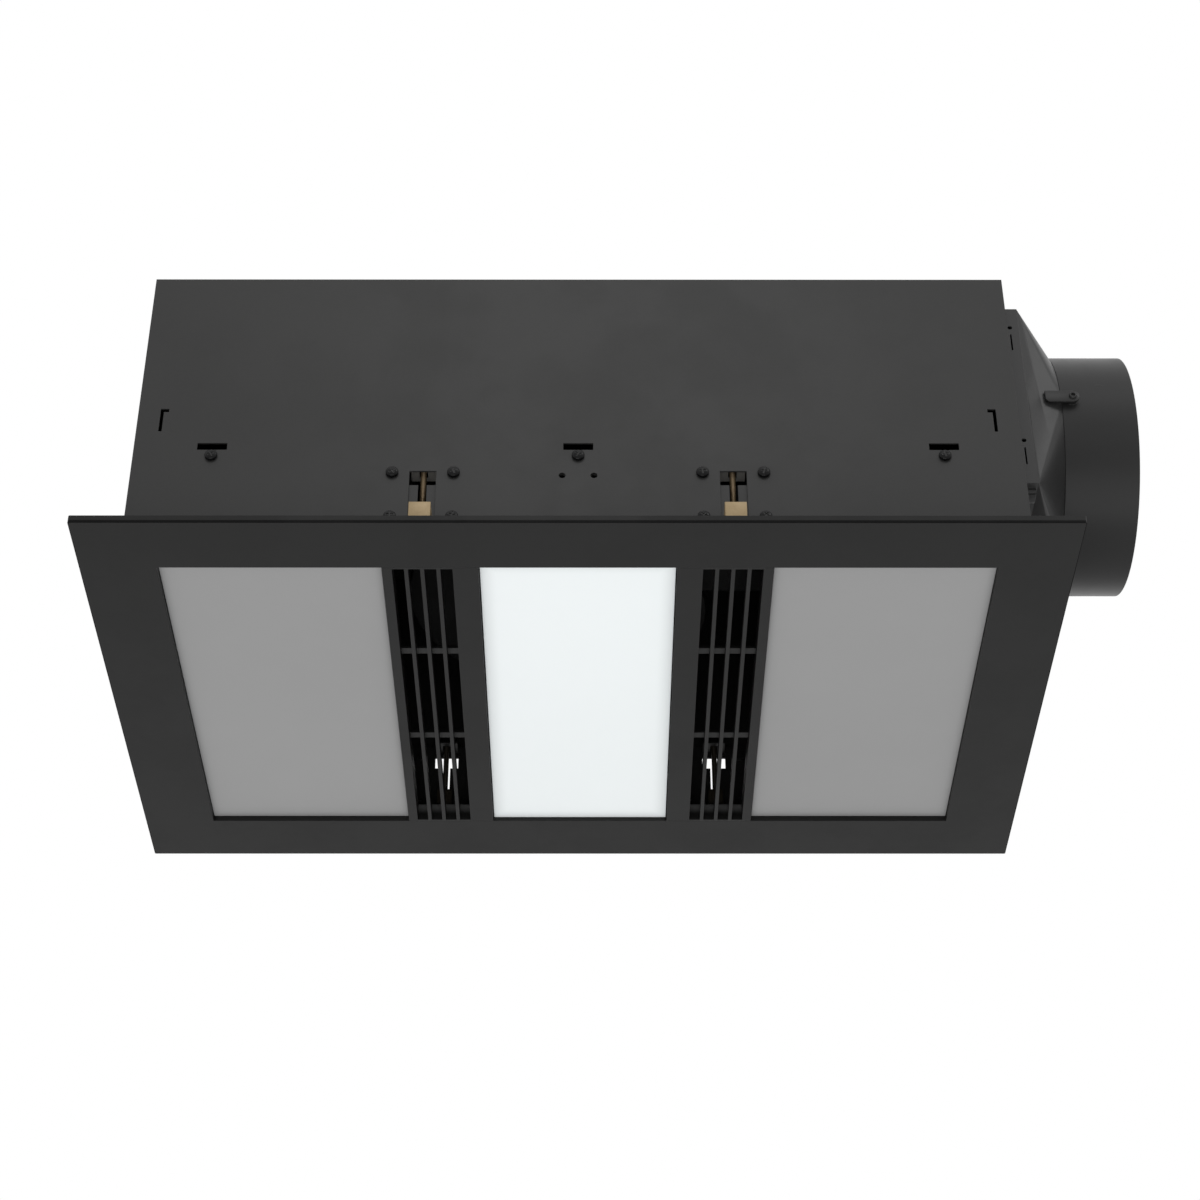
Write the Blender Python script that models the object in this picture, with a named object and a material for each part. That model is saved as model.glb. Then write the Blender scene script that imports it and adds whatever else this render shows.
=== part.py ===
"""Bathroom ceiling heater: housing, clip-on fascia, two radiant panels, light panel and ducted fan.

Metres, +Z up. The origin is the middle of the ceiling cut-out, in the plane of the ceiling's lower face:
the housing stands above it and the fascia hangs below it. +X points along the length to the duct collar,
and -Y is the front. Every size is a named value here, and the places are worked out from them.
"""

import math

import bmesh
import bpy
from mathutils import Matrix, Vector

MM = 0.001

# Housing of folded sheet
HOUSING_LENGTH = 524.0 * MM
HOUSING_WIDTH = 310.5 * MM
HOUSING_HEIGHT = 207.0 * MM
HOUSING_SHEET = 1.2 * MM
RETURN_FLANGE = 10.0 * MM
HOOK_SLOT_INSET = 13.2 * MM
HOOK_SLOT_TOP = 101.6 * MM
HOOK_SLOT_HEIGHT = 17.4 * MM
HOOK_SLOT_LEG = 2.0 * MM
HOOK_SLOT_ARM = 5.0 * MM
HOOK_SLOT_ARM_HEIGHT = 2.5 * MM
STRAP_OFFSET = 215.8 * MM
STRAP_SLOT_LENGTH = 17.6 * MM
STRAP_SLOT_HEIGHT = 5.1 * MM
STRAP_SLOT_LEVEL = 72.6 * MM
STRAP_SCREW_DROP = 7.3 * MM
WIRE_HOLE_OFFSET = 9.3 * MM
WIRE_HOLE_LEVEL = 50.7 * MM
WIRE_HOLE_RADIUS = 2.1 * MM

# Fits and cuts
GAP = 0.3 * MM
OVERRUN = 2.0 * MM
WELD = 0.01 * MM

# Screws with pan heads
SCREW_HEAD_RADIUS = 3.6 * MM
SCREW_HEAD_HEIGHT = 2.2 * MM
SCREW_SHANK_RADIUS = 2.0 * MM
SCREW_RIM_SHARE = 0.55
SCREW_CROWN_SHARE = 0.62

# Fascia
FASCIA_OVERLAP_X = 25.5 * MM
FASCIA_OVERLAP_Y = 26.5 * MM
FASCIA_EDGE = 5.0 * MM
FASCIA_WEB = 3.8 * MM
FASCIA_SKIRT = 2.5 * MM
FASCIA_BEVEL = 0.4 * MM
BORDER_X = 44.5 * MM
BORDER_Y = 42.25 * MM
RIM_WALL = 2.0 * MM
RIM_HEIGHT = 12.0 * MM
RIB_WALL = 2.0 * MM
LONG_RIB_COUNT = 7
END_RIB_COUNT = 3

# Panels and grilles in the fascia's opening
LIGHT_LENGTH = 114.2 * MM
INNER_STRIP = 15.3 * MM
OUTER_STRIP = 6.0 * MM
GRILLE_SLOT = 35.1 * MM
GRILLE_BAR = 2.3 * MM
GRILLE_BAR_DEPTH = 7.5 * MM
GRILLE_BAR_COUNT = 3
CROSS_BAR = 5.6 * MM
CROSS_BAR_DEPTH = 1.5 * MM
CROSS_BAR_COUNT = 2
GRILLE_END = 1.2 * MM

# Radiant panels
GLASS_RECESS = 3.7 * MM
GLASS_THICKNESS = 4.0 * MM
SEAL_THICKNESS = 1.0 * MM
SEAL_WIDTH = 6.0 * MM
REFLECTOR_SHEET = 0.8 * MM
REFLECTOR_FLANGE = 7.0 * MM
REFLECTOR_SLOPE = 20.0 * MM
REFLECTOR_DEPTH = 52.0 * MM
LAMP_RADIUS = 5.0 * MM
LAMP_PINCH = 3.4 * MM
LAMP_END_LENGTH = 12.0 * MM
LAMP_END_RADIUS = 3.9 * MM
LAMP_RISE = 24.0 * MM
HOLDER_LENGTH = 14.0 * MM
HOLDER_WIDTH = 17.0 * MM
HOLDER_HEIGHT = 26.0 * MM
CUTOUT_RADIUS = 8.0 * MM
CUTOUT_HEIGHT = 7.0 * MM
CUTOUT_EAR = 12.0 * MM
CUTOUT_EAR_WIDTH = 7.0 * MM
CUTOUT_EAR_SHEET = 1.0 * MM

# Straps that hang the panels from the long walls
STRAP_WIDTH = 30.0 * MM
STRAP_SHEET = 1.2 * MM
STRAP_TOP_MARGIN = 0.6 * MM

# Light panel
LIGHT_RECESS = 2.8 * MM
DIFFUSER_THICKNESS = 3.0 * MM
TRAY_SHEET = 1.0 * MM
TRAY_DEPTH = 20.0 * MM
TRAY_LEDGE = 5.0 * MM
BOARD_THICKNESS = 1.6 * MM
BOARD_MARGIN = 9.0 * MM
LED_LENGTH = 3.5 * MM
LED_HEIGHT = 0.8 * MM
LED_ROWS = 4
LEDS_IN_A_ROW = 7
DRIVER_LENGTH = 92.0 * MM
DRIVER_WIDTH = 38.0 * MM
DRIVER_HEIGHT = 24.0 * MM
DRIVER_FLANGE = 9.0 * MM
DRIVER_FLANGE_SHEET = 1.5 * MM

# Ceiling clamps
CLAMP_OFFSET = 90.8 * MM
CLAMP_WINDOW_WIDTH = 15.7 * MM
CLAMP_WINDOW_TOP = 54.0 * MM
CLAMP_WINDOW_BOTTOM = 7.0 * MM
CLAMP_PLATE_WIDTH = 50.0 * MM
CLAMP_PLATE_BOTTOM = 5.0 * MM
CLAMP_PLATE_TOP = 62.0 * MM
CLAMP_SHEET = 1.2 * MM
CLAMP_NOTCH_BOTTOM = 44.6 * MM
CLAMP_TAB_LEVEL = 57.5 * MM
CLAMP_TAB_DEPTH = 12.6 * MM
CLAMP_SLOT_WIDTH = 5.0 * MM
CLAMP_SLOT_BOTTOM = 8.3 * MM
CLAMP_FOOT_WIDTH = 24.0 * MM
CLAMP_FOOT_DEPTH = 11.5 * MM
CLAMP_SCREW_PITCH_X = 35.9 * MM
CLAMP_SCREW_UPPER = 52.5 * MM
CLAMP_SCREW_LOWER = 19.7 * MM
ROD_RADIUS = 1.8 * MM
ROD_DEPTH = 8.0 * MM
ROD_HEAD_RADIUS = 3.7 * MM
ROD_HEAD_HEIGHT = 3.1 * MM
ROD_HEAD_SLOT = 1.0 * MM
ROD_COLLAR_RADIUS = 3.2 * MM
ROD_COLLAR_HEIGHT = 0.8 * MM
JAW_WIDTH = 12.8 * MM
JAW_REACH = 12.0 * MM
JAW_HEIGHT = 12.0 * MM
JAW_BOTTOM = 9.8 * MM
JAW_NECK_MARGIN = 1.0 * MM
JAW_NUT_WIDTH = 10.0 * MM
JAW_NUT_DEPTH = 10.0 * MM

# Fascia clips of spring strip
CLIP_OFFSET = 92.0 * MM
CLIP_WIDTH = 14.0 * MM
CLIP_SHEET = 0.8 * MM
CLIP_HEIGHT = 38.0 * MM
CLIP_FOOT = 11.5 * MM
CLIP_BOW = 3.0 * MM
CLIP_NOTCH_MARGIN = 2.0 * MM
CLIP_BOW_SHARE = 1.15
CLIP_STEPS = 8

# Duct on the +X wall
DUCT_Y = -60.5 * MM
DUCT_LEVEL = 126.0 * MM
DUCT_RADIUS = 75.0 * MM
DUCT_SHEET = 1.0 * MM
DUCT_PLATE_MARGIN = 5.5 * MM
DUCT_PLATE_TRIM = 5.5 * MM
DUCT_PLATE_SHEET = 1.2 * MM
DUCT_PLATE_FRAME_Y = 28.0 * MM
DUCT_PLATE_FRAME_Z = 19.5 * MM
DUCT_PAN_REACH = 10.0 * MM
DUCT_HOOD_REACH = 21.3 * MM
DUCT_COLLAR_REACH = 45.2 * MM
DUCT_SPIGOT = 8.0 * MM
PAN_SLOT_X = 266.5 * MM
PAN_SLOT_WIDTH = 0.9 * MM
PAN_SLOT_LENGTH = 13.0 * MM
PAN_SLOT_UPPER = 174.5 * MM
PAN_SLOT_LOWER = 84.0 * MM
PAN_HOLE_RISE = 5.5 * MM
PAN_HOLE_RADIUS = 1.4 * MM
PAN_LUG_INSET = 4.5 * MM
PAN_LUG_LENGTH = 11.5 * MM
PAN_LUG_HEIGHT = 4.2 * MM
COLLAR_TAB_LENGTH = 20.9 * MM
COLLAR_TAB_HEIGHT = 8.5 * MM
COLLAR_TAB_SHEET = 1.5 * MM
COLLAR_TAB_DROP = 0.7 * MM
COLLAR_TAB_STAND = 3.0 * MM
COLLAR_TAB_OVERHANG = 10.2 * MM
COLLAR_TAB_SCREW_RADIUS = 2.4 * MM
COLLAR_TAB_SCREW_HEIGHT = 1.4 * MM

# Damper inside the collar
DAMPER_STAND = 24.5 * MM
DAMPER_AXIS_RISE = 8.0 * MM
DAMPER_SHEET = 1.2 * MM
DAMPER_EDGE_GAP = 2.2 * MM
DAMPER_BOSS_RADIUS = 5.0 * MM
DAMPER_BOSS_LENGTH = 7.5 * MM
DAMPER_BOSS_FLOOR = 1.2 * MM
SPINDLE_RADIUS = 2.0 * MM
KNUCKLE_RADIUS = 3.6 * MM
KNUCKLE_LENGTH = 16.0 * MM

# Fan
FAN_Y = 7.0 * MM
SCROLL_SHEET = 1.0 * MM
SCROLL_HEIGHT = 100.0 * MM
SCROLL_START_RADIUS = 78.0 * MM
SCROLL_END_RADIUS = 120.0 * MM
SCROLL_FLANGE = 8.0 * MM
SCROLL_STEPS = 36
IMPELLER_RADIUS = 68.0 * MM
IMPELLER_EYE_RADIUS = 56.0 * MM
IMPELLER_HEIGHT = 68.0 * MM
IMPELLER_LIFT = 6.0 * MM
IMPELLER_DISC = 2.0 * MM
IMPELLER_HUB_RADIUS = 12.0 * MM
IMPELLER_HUB_HEIGHT = 22.0 * MM
BLADE_COUNT = 24
BLADE_SHEET = 1.0 * MM
BLADE_LEAN_SHARE = 0.16
BLADE_STEPS = 3
INLET_FLANGE = 12.0 * MM
INLET_SHEET = 1.2 * MM
INLET_THROAT_GAP = 3.0 * MM
INLET_DEPTH = 9.0 * MM
SHAFT_RADIUS = 4.0 * MM
MOTOR_RADIUS = 48.0 * MM
MOTOR_HEIGHT = 25.0 * MM
MOTOR_FILLET = 5.0 * MM
MOTOR_FILLET_STEPS = 3
MOTOR_LUG_REACH = 14.0 * MM
MOTOR_LUG_WIDTH = 12.0 * MM
MOTOR_LUG_SHEET = 2.0 * MM
MOTOR_LUG_COUNT = 3
LID_HOLE_RADIUS = 14.0 * MM

# Electrical pieces
TERMINAL_BOX_WIDTH = 84.0 * MM
TERMINAL_BOX_HEIGHT = 62.0 * MM
TERMINAL_BOX_DEPTH = 34.0 * MM
TERMINAL_BOX_Y = 84.0 * MM
TERMINAL_BOX_LEVEL = 150.0 * MM
TERMINAL_BOX_SHEET = 1.2 * MM
TERMINAL_BLOCK_MARGIN = 12.0 * MM
TERMINAL_BLOCK_HEIGHT = 16.0 * MM
TERMINAL_BLOCK_REACH = 15.0 * MM
TERMINAL_COUNT = 6
TERMINAL_GROOVE = 1.5 * MM
TERMINAL_SCREW_RADIUS = 2.4 * MM
GLAND_DROP = 18.0 * MM
GLAND_HOLE_RADIUS = 8.0 * MM
GLAND_BORE_RADIUS = 4.0 * MM
GLAND_HEX_RADIUS = 13.0 * MM
GLAND_HEX_HEIGHT = 6.0 * MM
GLAND_DOME_RADIUS = 10.5 * MM
GLAND_DOME_HEIGHT = 10.0 * MM
GLAND_NUT_HEIGHT = 5.0 * MM
GLAND_NOSE_SHARE = 0.7
CAPACITOR_RADIUS = 15.0 * MM
CAPACITOR_HEIGHT = 52.0 * MM
CAPACITOR_BASE_RADIUS = 20.0 * MM
CAPACITOR_BASE_HEIGHT = 3.0 * MM
CAPACITOR_X = -178.0 * MM
CAPACITOR_Y = -96.0 * MM

# Facets of round shapes
SCREW_SIDES = 8
HOLE_SIDES = 8
HEX_SIDES = 6
SMALL_SIDES = 12
RING_SIDES = 32
ROUND_SIDES = 20
DUCT_SIDES = 40
SMOOTH_ANGLE = math.radians(32.0)

# Places that several pieces share
HALF_LENGTH = HOUSING_LENGTH / 2
HALF_WIDTH = HOUSING_WIDTH / 2
INNER_X = HALF_LENGTH - HOUSING_SHEET
INNER_Y = HALF_WIDTH - HOUSING_SHEET
FASCIA_X = HALF_LENGTH + FASCIA_OVERLAP_X
FASCIA_Y = HALF_WIDTH + FASCIA_OVERLAP_Y
FASCIA_BOTTOM = -FASCIA_EDGE
OPENING_X = FASCIA_X - BORDER_X
OPENING_Y = FASCIA_Y - BORDER_Y
LIGHT_X = LIGHT_LENGTH / 2
SLOT_INNER_X = LIGHT_X + INNER_STRIP
SLOT_OUTER_X = SLOT_INNER_X + GRILLE_SLOT
GRILLE_OUTER_X = SLOT_OUTER_X + OUTER_STRIP
PANEL_X = (GRILLE_OUTER_X + OPENING_X) / 2
PANEL_LENGTH = OPENING_X - GRILLE_OUTER_X - 2 * GAP
PANEL_WIDTH = 2 * (OPENING_Y - GAP)
GLASS_BOTTOM = FASCIA_BOTTOM + GLASS_RECESS
SEAL_BOTTOM = GLASS_BOTTOM + GLASS_THICKNESS + GAP
REFLECTOR_BOTTOM = SEAL_BOTTOM + SEAL_THICKNESS + GAP
REFLECTOR_TOP = REFLECTOR_BOTTOM + REFLECTOR_DEPTH
DIFFUSER_BOTTOM = FASCIA_BOTTOM + LIGHT_RECESS
TRAY_BOTTOM = DIFFUSER_BOTTOM + DIFFUSER_THICKNESS + GAP
TRAY_TOP = TRAY_BOTTOM + TRAY_DEPTH
STRAP_SCREW_LEVEL = STRAP_SLOT_LEVEL - STRAP_SCREW_DROP
STRAP_TOP = STRAP_SLOT_LEVEL - STRAP_SLOT_HEIGHT / 2 - STRAP_TOP_MARGIN
SCROLL_BOTTOM = DUCT_LEVEL - SCROLL_HEIGHT / 2
SCROLL_TOP = SCROLL_BOTTOM + SCROLL_HEIGHT
OUTLET_FRONT = FAN_Y - SCROLL_END_RADIUS
OUTLET_BACK = 2 * DUCT_Y - OUTLET_FRONT
TONGUE_ANGLE = math.asin((OUTLET_BACK - FAN_Y) / SCROLL_START_RADIUS)
IMPELLER_BOTTOM = SCROLL_BOTTOM + IMPELLER_LIFT
IMPELLER_TOP = IMPELLER_BOTTOM + IMPELLER_HEIGHT
PLATE_HALF_Y = DUCT_RADIUS + DUCT_PLATE_MARGIN
PLATE_HALF_Z = DUCT_RADIUS - DUCT_PLATE_TRIM
PLATE_X = HALF_LENGTH + GAP
PAN_X = PLATE_X + DUCT_PLATE_SHEET + GAP
HOOD_X = HALF_LENGTH + DUCT_PAN_REACH
RIM_X = HOOD_X + DUCT_HOOD_REACH
COLLAR_END_X = RIM_X + DUCT_COLLAR_REACH
DAMPER_X = RIM_X + DAMPER_STAND
DAMPER_LEVEL = DUCT_LEVEL + DAMPER_AXIS_RISE
DAMPER_RADIUS = DUCT_RADIUS - DUCT_SHEET - DAMPER_EDGE_GAP
ROD_BOTTOM = CLAMP_PLATE_BOTTOM - GAP - ROD_HEAD_HEIGHT

# Finishes: colour, metallic, roughness
FINISHES = {
    "black_sheet": ((0.052, 0.052, 0.050), 0.0, 0.50),
    "black_plastic": ((0.030, 0.030, 0.029), 0.0, 0.45),
    "dark_duct": ((0.040, 0.040, 0.040), 0.0, 0.40),
    "galvanised": ((0.52, 0.53, 0.53), 1.0, 0.42),
    "mirror_sheet": ((0.80, 0.80, 0.79), 1.0, 0.16),
    "bronze": ((0.42, 0.31, 0.16), 1.0, 0.38),
    "spring_steel": ((0.45, 0.44, 0.42), 1.0, 0.30),
    "frosted_glass": ((0.32, 0.32, 0.32), 0.0, 0.35),
    "quartz": ((0.85, 0.84, 0.80), 0.0, 0.10),
    "ceramic": ((0.82, 0.80, 0.74), 0.0, 0.55),
    "silicone": ((0.20, 0.20, 0.20), 0.0, 0.70),
    "opal": ((0.90, 0.93, 0.93), 0.0, 0.35),
    "white_sheet": ((0.80, 0.80, 0.79), 0.0, 0.45),
    "board": ((0.86, 0.87, 0.86), 0.0, 0.40),
    "white_plastic": ((0.75, 0.75, 0.73), 0.0, 0.45),
}


def clear_scene():
    """Remove every object that the file opened with."""
    for old in list(bpy.data.objects):
        bpy.data.objects.remove(old, do_unlink=True)


def finish(name):
    """Return the named finish, made on its first use."""
    found = bpy.data.materials.get(name)
    if found:
        return found
    colour, metallic, roughness = FINISHES[name]
    made = bpy.data.materials.new(name)
    made.use_nodes = True
    made.diffuse_color = (*colour, 1.0)
    shader = made.node_tree.nodes["Principled BSDF"]
    shader.inputs["Base Color"].default_value = (*colour, 1.0)
    shader.inputs["Metallic"].default_value = metallic
    shader.inputs["Roughness"].default_value = roughness
    return made


def shape(bm):
    """Turn a bmesh into an unnamed object, with its faces pointing out."""
    bmesh.ops.recalc_face_normals(bm, faces=bm.faces)
    mesh = bpy.data.meshes.new("shape")
    bm.to_mesh(mesh)
    bm.free()
    made = bpy.data.objects.new("shape", mesh)
    bpy.context.collection.objects.link(made)
    return made


def block(low, high):
    """A box between two corners."""
    bm = bmesh.new()
    bmesh.ops.create_cube(bm, size=1.0)
    size = Vector(high) - Vector(low)
    middle = (Vector(high) + Vector(low)) / 2
    bmesh.ops.scale(bm, vec=size, verts=bm.verts)
    bmesh.ops.translate(bm, vec=middle, verts=bm.verts)
    return shape(bm)


def rod(start, end, radius, sides=SMALL_SIDES, end_radius=None):
    """A cylinder, or a cone when it has an end radius, from one point to another."""
    bm = bmesh.new()
    run = Vector(end) - Vector(start)
    turn = Vector((0, 0, 1)).rotation_difference(run.normalized()).to_matrix().to_4x4()
    place = Matrix.Translation((Vector(start) + Vector(end)) / 2) @ turn
    far_radius = radius if end_radius is None else end_radius
    bmesh.ops.create_cone(bm, cap_ends=True, segments=sides, radius1=radius, radius2=far_radius,
                          depth=run.length, matrix=place)
    return shape(bm)


def prism(outline, run):
    """A flat outline of 3-D points, extruded along a vector."""
    bm = bmesh.new()
    face = bm.faces.new([bm.verts.new(point) for point in outline])
    grown = bmesh.ops.extrude_face_region(bm, geom=[face])
    moved = [item for item in grown["geom"] if isinstance(item, bmesh.types.BMVert)]
    bmesh.ops.translate(bm, vec=Vector(run), verts=moved)
    return shape(bm)


def turned(profile, centre, axis, sides, ring):
    """A profile of (radius, height) points turned about an axis; a ring's profile is a closed loop."""
    bm = bmesh.new()
    points = [bm.verts.new((radius, 0, height)) for radius, height in profile]
    edges = [bm.edges.new(pair) for pair in zip(points, points[1:])]
    if ring:
        edges.append(bm.edges.new((points[-1], points[0])))
    bmesh.ops.spin(bm, geom=points + edges, cent=(0, 0, 0), axis=(0, 0, 1), angle=math.tau,
                   steps=sides, use_merge=True)
    bmesh.ops.remove_doubles(bm, verts=bm.verts, dist=WELD)
    turn = Vector((0, 0, 1)).rotation_difference(Vector(axis)).to_matrix().to_4x4()
    bmesh.ops.transform(bm, matrix=Matrix.Translation(Vector(centre)) @ turn, verts=bm.verts)
    return shape(bm)


def apply_modifiers(target):
    """Bake an object's modifiers into its mesh."""
    depsgraph = bpy.context.evaluated_depsgraph_get()
    depsgraph.update()
    baked = bpy.data.meshes.new_from_object(target.evaluated_get(depsgraph))
    target.modifiers.clear()
    target.data = baked


def boolean(target, tools, operation):
    """Join tools to a target or cut them from it, and remove the tools."""
    for tool in tools:
        step = target.modifiers.new(operation.title(), "BOOLEAN")
        step.operation = operation
        step.solver = "EXACT"
        step.object = tool
    apply_modifiers(target)
    for tool in tools:
        bpy.data.objects.remove(tool, do_unlink=True)
    return target


def join(target, *tools):
    """Fuse shapes into one."""
    return boolean(target, tools, "UNION")


def cut(target, *tools):
    """Cut shapes out of one."""
    return boolean(target, tools, "DIFFERENCE")


def grouped(shapes):
    """Gather shapes that don't touch each other into one mesh, as one tool."""
    bm = bmesh.new()
    for item in shapes:
        mesh = item.data.copy()
        mesh.transform(item.matrix_basis)
        bm.from_mesh(mesh)
        bpy.data.meshes.remove(mesh)
        bpy.data.objects.remove(item, do_unlink=True)
    return shape(bm)


def piece(name, target, finish_name, smooth=False):
    """Name a finished shape and give it its finish."""
    target.name = name
    target.data.name = name
    target.data.materials.clear()
    target.data.materials.append(finish(finish_name))
    if smooth:
        target.data.shade_smooth()
        target.data.set_sharp_from_angle(angle=SMOOTH_ANGLE)
    return target


def set_origin(target, point):
    """Move an object's origin to a point on its joint's axis and leave the shape where it is."""
    target.data.transform(Matrix.Translation(-Vector(point)))
    target.location = Vector(point)
    return target


def copy_of(source, name):
    """A second object that shares a mesh."""
    made = bpy.data.objects.new(name, source.data)
    bpy.context.collection.objects.link(made)
    return made


def pan_screw(seat, inward, length):
    """A pan-head screw: its head stands on a seat point, and its shank runs inward."""
    seat_point = Vector(seat)
    way = Vector(inward)
    rim = SCREW_RIM_SHARE * SCREW_HEAD_HEIGHT
    crown = SCREW_CROWN_SHARE * SCREW_HEAD_RADIUS
    profile = [(0, -SCREW_HEAD_HEIGHT), (crown, -SCREW_HEAD_HEIGHT), (SCREW_HEAD_RADIUS, -rim),
               (SCREW_HEAD_RADIUS, 0), (SCREW_SHANK_RADIUS, 0), (SCREW_SHANK_RADIUS, length), (0, length)]
    return turned(profile, seat_point, way, SCREW_SIDES, False)


def spread(count, reach):
    """Evenly spread places between two ends, without the ends."""
    return [reach * (2 * (step + 1) / (count + 1) - 1) for step in range(count)]


def housing_shell():
    """Folded sheet box, open below, with its slots, windows, holes and return flange."""
    shell = block((-HALF_LENGTH, -HALF_WIDTH, GAP), (HALF_LENGTH, HALF_WIDTH, HOUSING_HEIGHT))
    inner_top = HOUSING_HEIGHT - HOUSING_SHEET
    flange_top = GAP + HOUSING_SHEET
    room = block((-INNER_X, -INNER_Y, flange_top), (INNER_X, INNER_Y, inner_top))
    mouth_x = INNER_X - RETURN_FLANGE
    mouth_y = INNER_Y - RETURN_FLANGE
    mouth = block((-mouth_x, -mouth_y, -OVERRUN), (mouth_x, mouth_y, flange_top + OVERRUN))
    cut(shell, room)
    cut(shell, mouth)
    cut(shell, grouped(wall_cuts()), grouped(clip_notches()), duct_opening())
    cut(shell, gland_hole())
    return piece("housing_shell", shell, "black_sheet")


def wall_cuts():
    """Openings in the front and back walls: hook slots, strap slots, screw holes and clamp windows."""
    cuts = []
    for side in (-1, 1):
        outer = side * (HALF_WIDTH + OVERRUN)
        inner = side * (INNER_Y - OVERRUN)
        near, far = min(outer, inner), max(outer, inner)
        for end in (-1, 1):
            cuts.append(hook_slot(end, near, far))
            cuts += clamp_window(end * CLAMP_OFFSET, side, near, far)
        for middle in (-STRAP_OFFSET, 0, STRAP_OFFSET):
            half = STRAP_SLOT_LENGTH / 2
            rise = STRAP_SLOT_HEIGHT / 2
            cuts.append(block((middle - half, near, STRAP_SLOT_LEVEL - rise),
                              (middle + half, far, STRAP_SLOT_LEVEL + rise)))
            cuts.append(wall_hole(middle, STRAP_SCREW_LEVEL, near, far, SCREW_SHANK_RADIUS + 2 * GAP))
        for end in (-1, 1):
            cuts.append(wall_hole(end * WIRE_HOLE_OFFSET, WIRE_HOLE_LEVEL, near, far, WIRE_HOLE_RADIUS))
    return cuts


def wall_hole(place, level, near, far, radius):
    """Round hole through a wall that faces front or back."""
    return rod((place, near, level), (place, far, level), radius, HOLE_SIDES)


def hook_slot(end, near, far):
    """Two-armed slot near an end of a long wall."""
    leg_outer = HALF_LENGTH - HOOK_SLOT_INSET
    leg_inner = leg_outer - HOOK_SLOT_LEG
    arm_inner = leg_outer - HOOK_SLOT_ARM
    bottom = HOOK_SLOT_TOP - HOOK_SLOT_HEIGHT
    arm_bottom = HOOK_SLOT_TOP - HOOK_SLOT_ARM_HEIGHT
    outline = [(leg_outer, HOOK_SLOT_TOP), (arm_inner, HOOK_SLOT_TOP), (arm_inner, arm_bottom),
               (leg_inner, arm_bottom), (leg_inner, bottom), (leg_outer, bottom)]
    return prism([(end * x, near, z) for x, z in outline], (0, far - near, 0))


def clamp_window(middle, side, near, far):
    """Window for a clamp's jaw, with the clearance holes of its plate's screws and a gap in the flange."""
    half = CLAMP_WINDOW_WIDTH / 2
    window = block((middle - half, near, CLAMP_WINDOW_BOTTOM), (middle + half, far, CLAMP_WINDOW_TOP))
    cuts = [window]
    for across in (-1, 1):
        place = middle + across * CLAMP_SCREW_PITCH_X / 2
        for level in (CLAMP_SCREW_LOWER, CLAMP_SCREW_UPPER):
            cuts.append(wall_hole(place, level, near, far, SCREW_SHANK_RADIUS + 2 * GAP))
    access = CLAMP_FOOT_WIDTH / 2 + GAP
    low_y, high_y = sorted((side * (INNER_Y - RETURN_FLANGE - OVERRUN), side * INNER_Y))
    cuts.append(block((middle - access, low_y, -OVERRUN), (middle + access, high_y, HOUSING_SHEET + OVERRUN)))
    return cuts


def clip_notches():
    """Gaps in the end flanges where the fascia's clips pass."""
    cuts = []
    half = CLIP_WIDTH / 2 + CLIP_NOTCH_MARGIN
    for end in (-1, 1):
        low_x, high_x = sorted((end * (INNER_X - RETURN_FLANGE - OVERRUN), end * INNER_X))
        for side in (-1, 1):
            middle = side * CLIP_OFFSET
            cuts.append(block((low_x, middle - half, -OVERRUN),
                              (high_x, middle + half, HOUSING_SHEET + OVERRUN)))
    return cuts


def duct_opening():
    """Rectangular way out of the +X wall."""
    return block((INNER_X - OVERRUN, OUTLET_FRONT, SCROLL_BOTTOM),
                 (HALF_LENGTH + OVERRUN, OUTLET_BACK, SCROLL_TOP))


def gland_hole():
    """Round hole for the cable gland in the -X wall."""
    return gland_rod(-HALF_LENGTH - OVERRUN, -INNER_X + OVERRUN, GLAND_HOLE_RADIUS + GAP, ROUND_SIDES)


def fascia_frame():
    """Moulded frame: a web round the opening, with an outer skirt and ribs on its hidden side."""
    frame = block((-FASCIA_X, -FASCIA_Y, FASCIA_BOTTOM), (FASCIA_X, FASCIA_Y, 0))
    bevel = frame.modifiers.new("Edge", "BEVEL")
    bevel.width = FASCIA_BEVEL
    bevel.segments = 1
    apply_modifiers(frame)
    web_top = FASCIA_BOTTOM + FASCIA_WEB
    hollow_x = FASCIA_X - FASCIA_SKIRT
    hollow_y = FASCIA_Y - FASCIA_SKIRT
    cut(frame, block((-hollow_x, -hollow_y, web_top), (hollow_x, hollow_y, OVERRUN)))
    cut(frame, block((-OPENING_X, -OPENING_Y, FASCIA_BOTTOM - OVERRUN), (OPENING_X, OPENING_Y, OVERRUN)))
    join(frame, grouped(fascia_ribs(web_top, hollow_x, hollow_y)))
    return piece("fascia_frame", frame, "black_plastic")


def fascia_ribs(web_top, hollow_x, hollow_y):
    """Ribs across the hollow border; the housing stands on their tops."""
    half = RIB_WALL / 2
    foot = web_top - FASCIA_WEB / 2
    start_x = OPENING_X + RIM_WALL + GAP
    start_y = OPENING_Y + RIM_WALL + GAP
    ribs = []
    for place in spread(LONG_RIB_COUNT, OPENING_X):
        for side in (-1, 1):
            low_y, high_y = sorted((side * start_y, side * (hollow_y + FASCIA_SKIRT / 2)))
            ribs.append(block((place - half, low_y, foot), (place + half, high_y, 0)))
    for place in spread(END_RIB_COUNT, OPENING_Y):
        for end in (-1, 1):
            low_x, high_x = sorted((end * start_x, end * (hollow_x + FASCIA_SKIRT / 2)))
            ribs.append(block((low_x, place - half, foot), (high_x, place + half, 0)))
    return ribs


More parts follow.
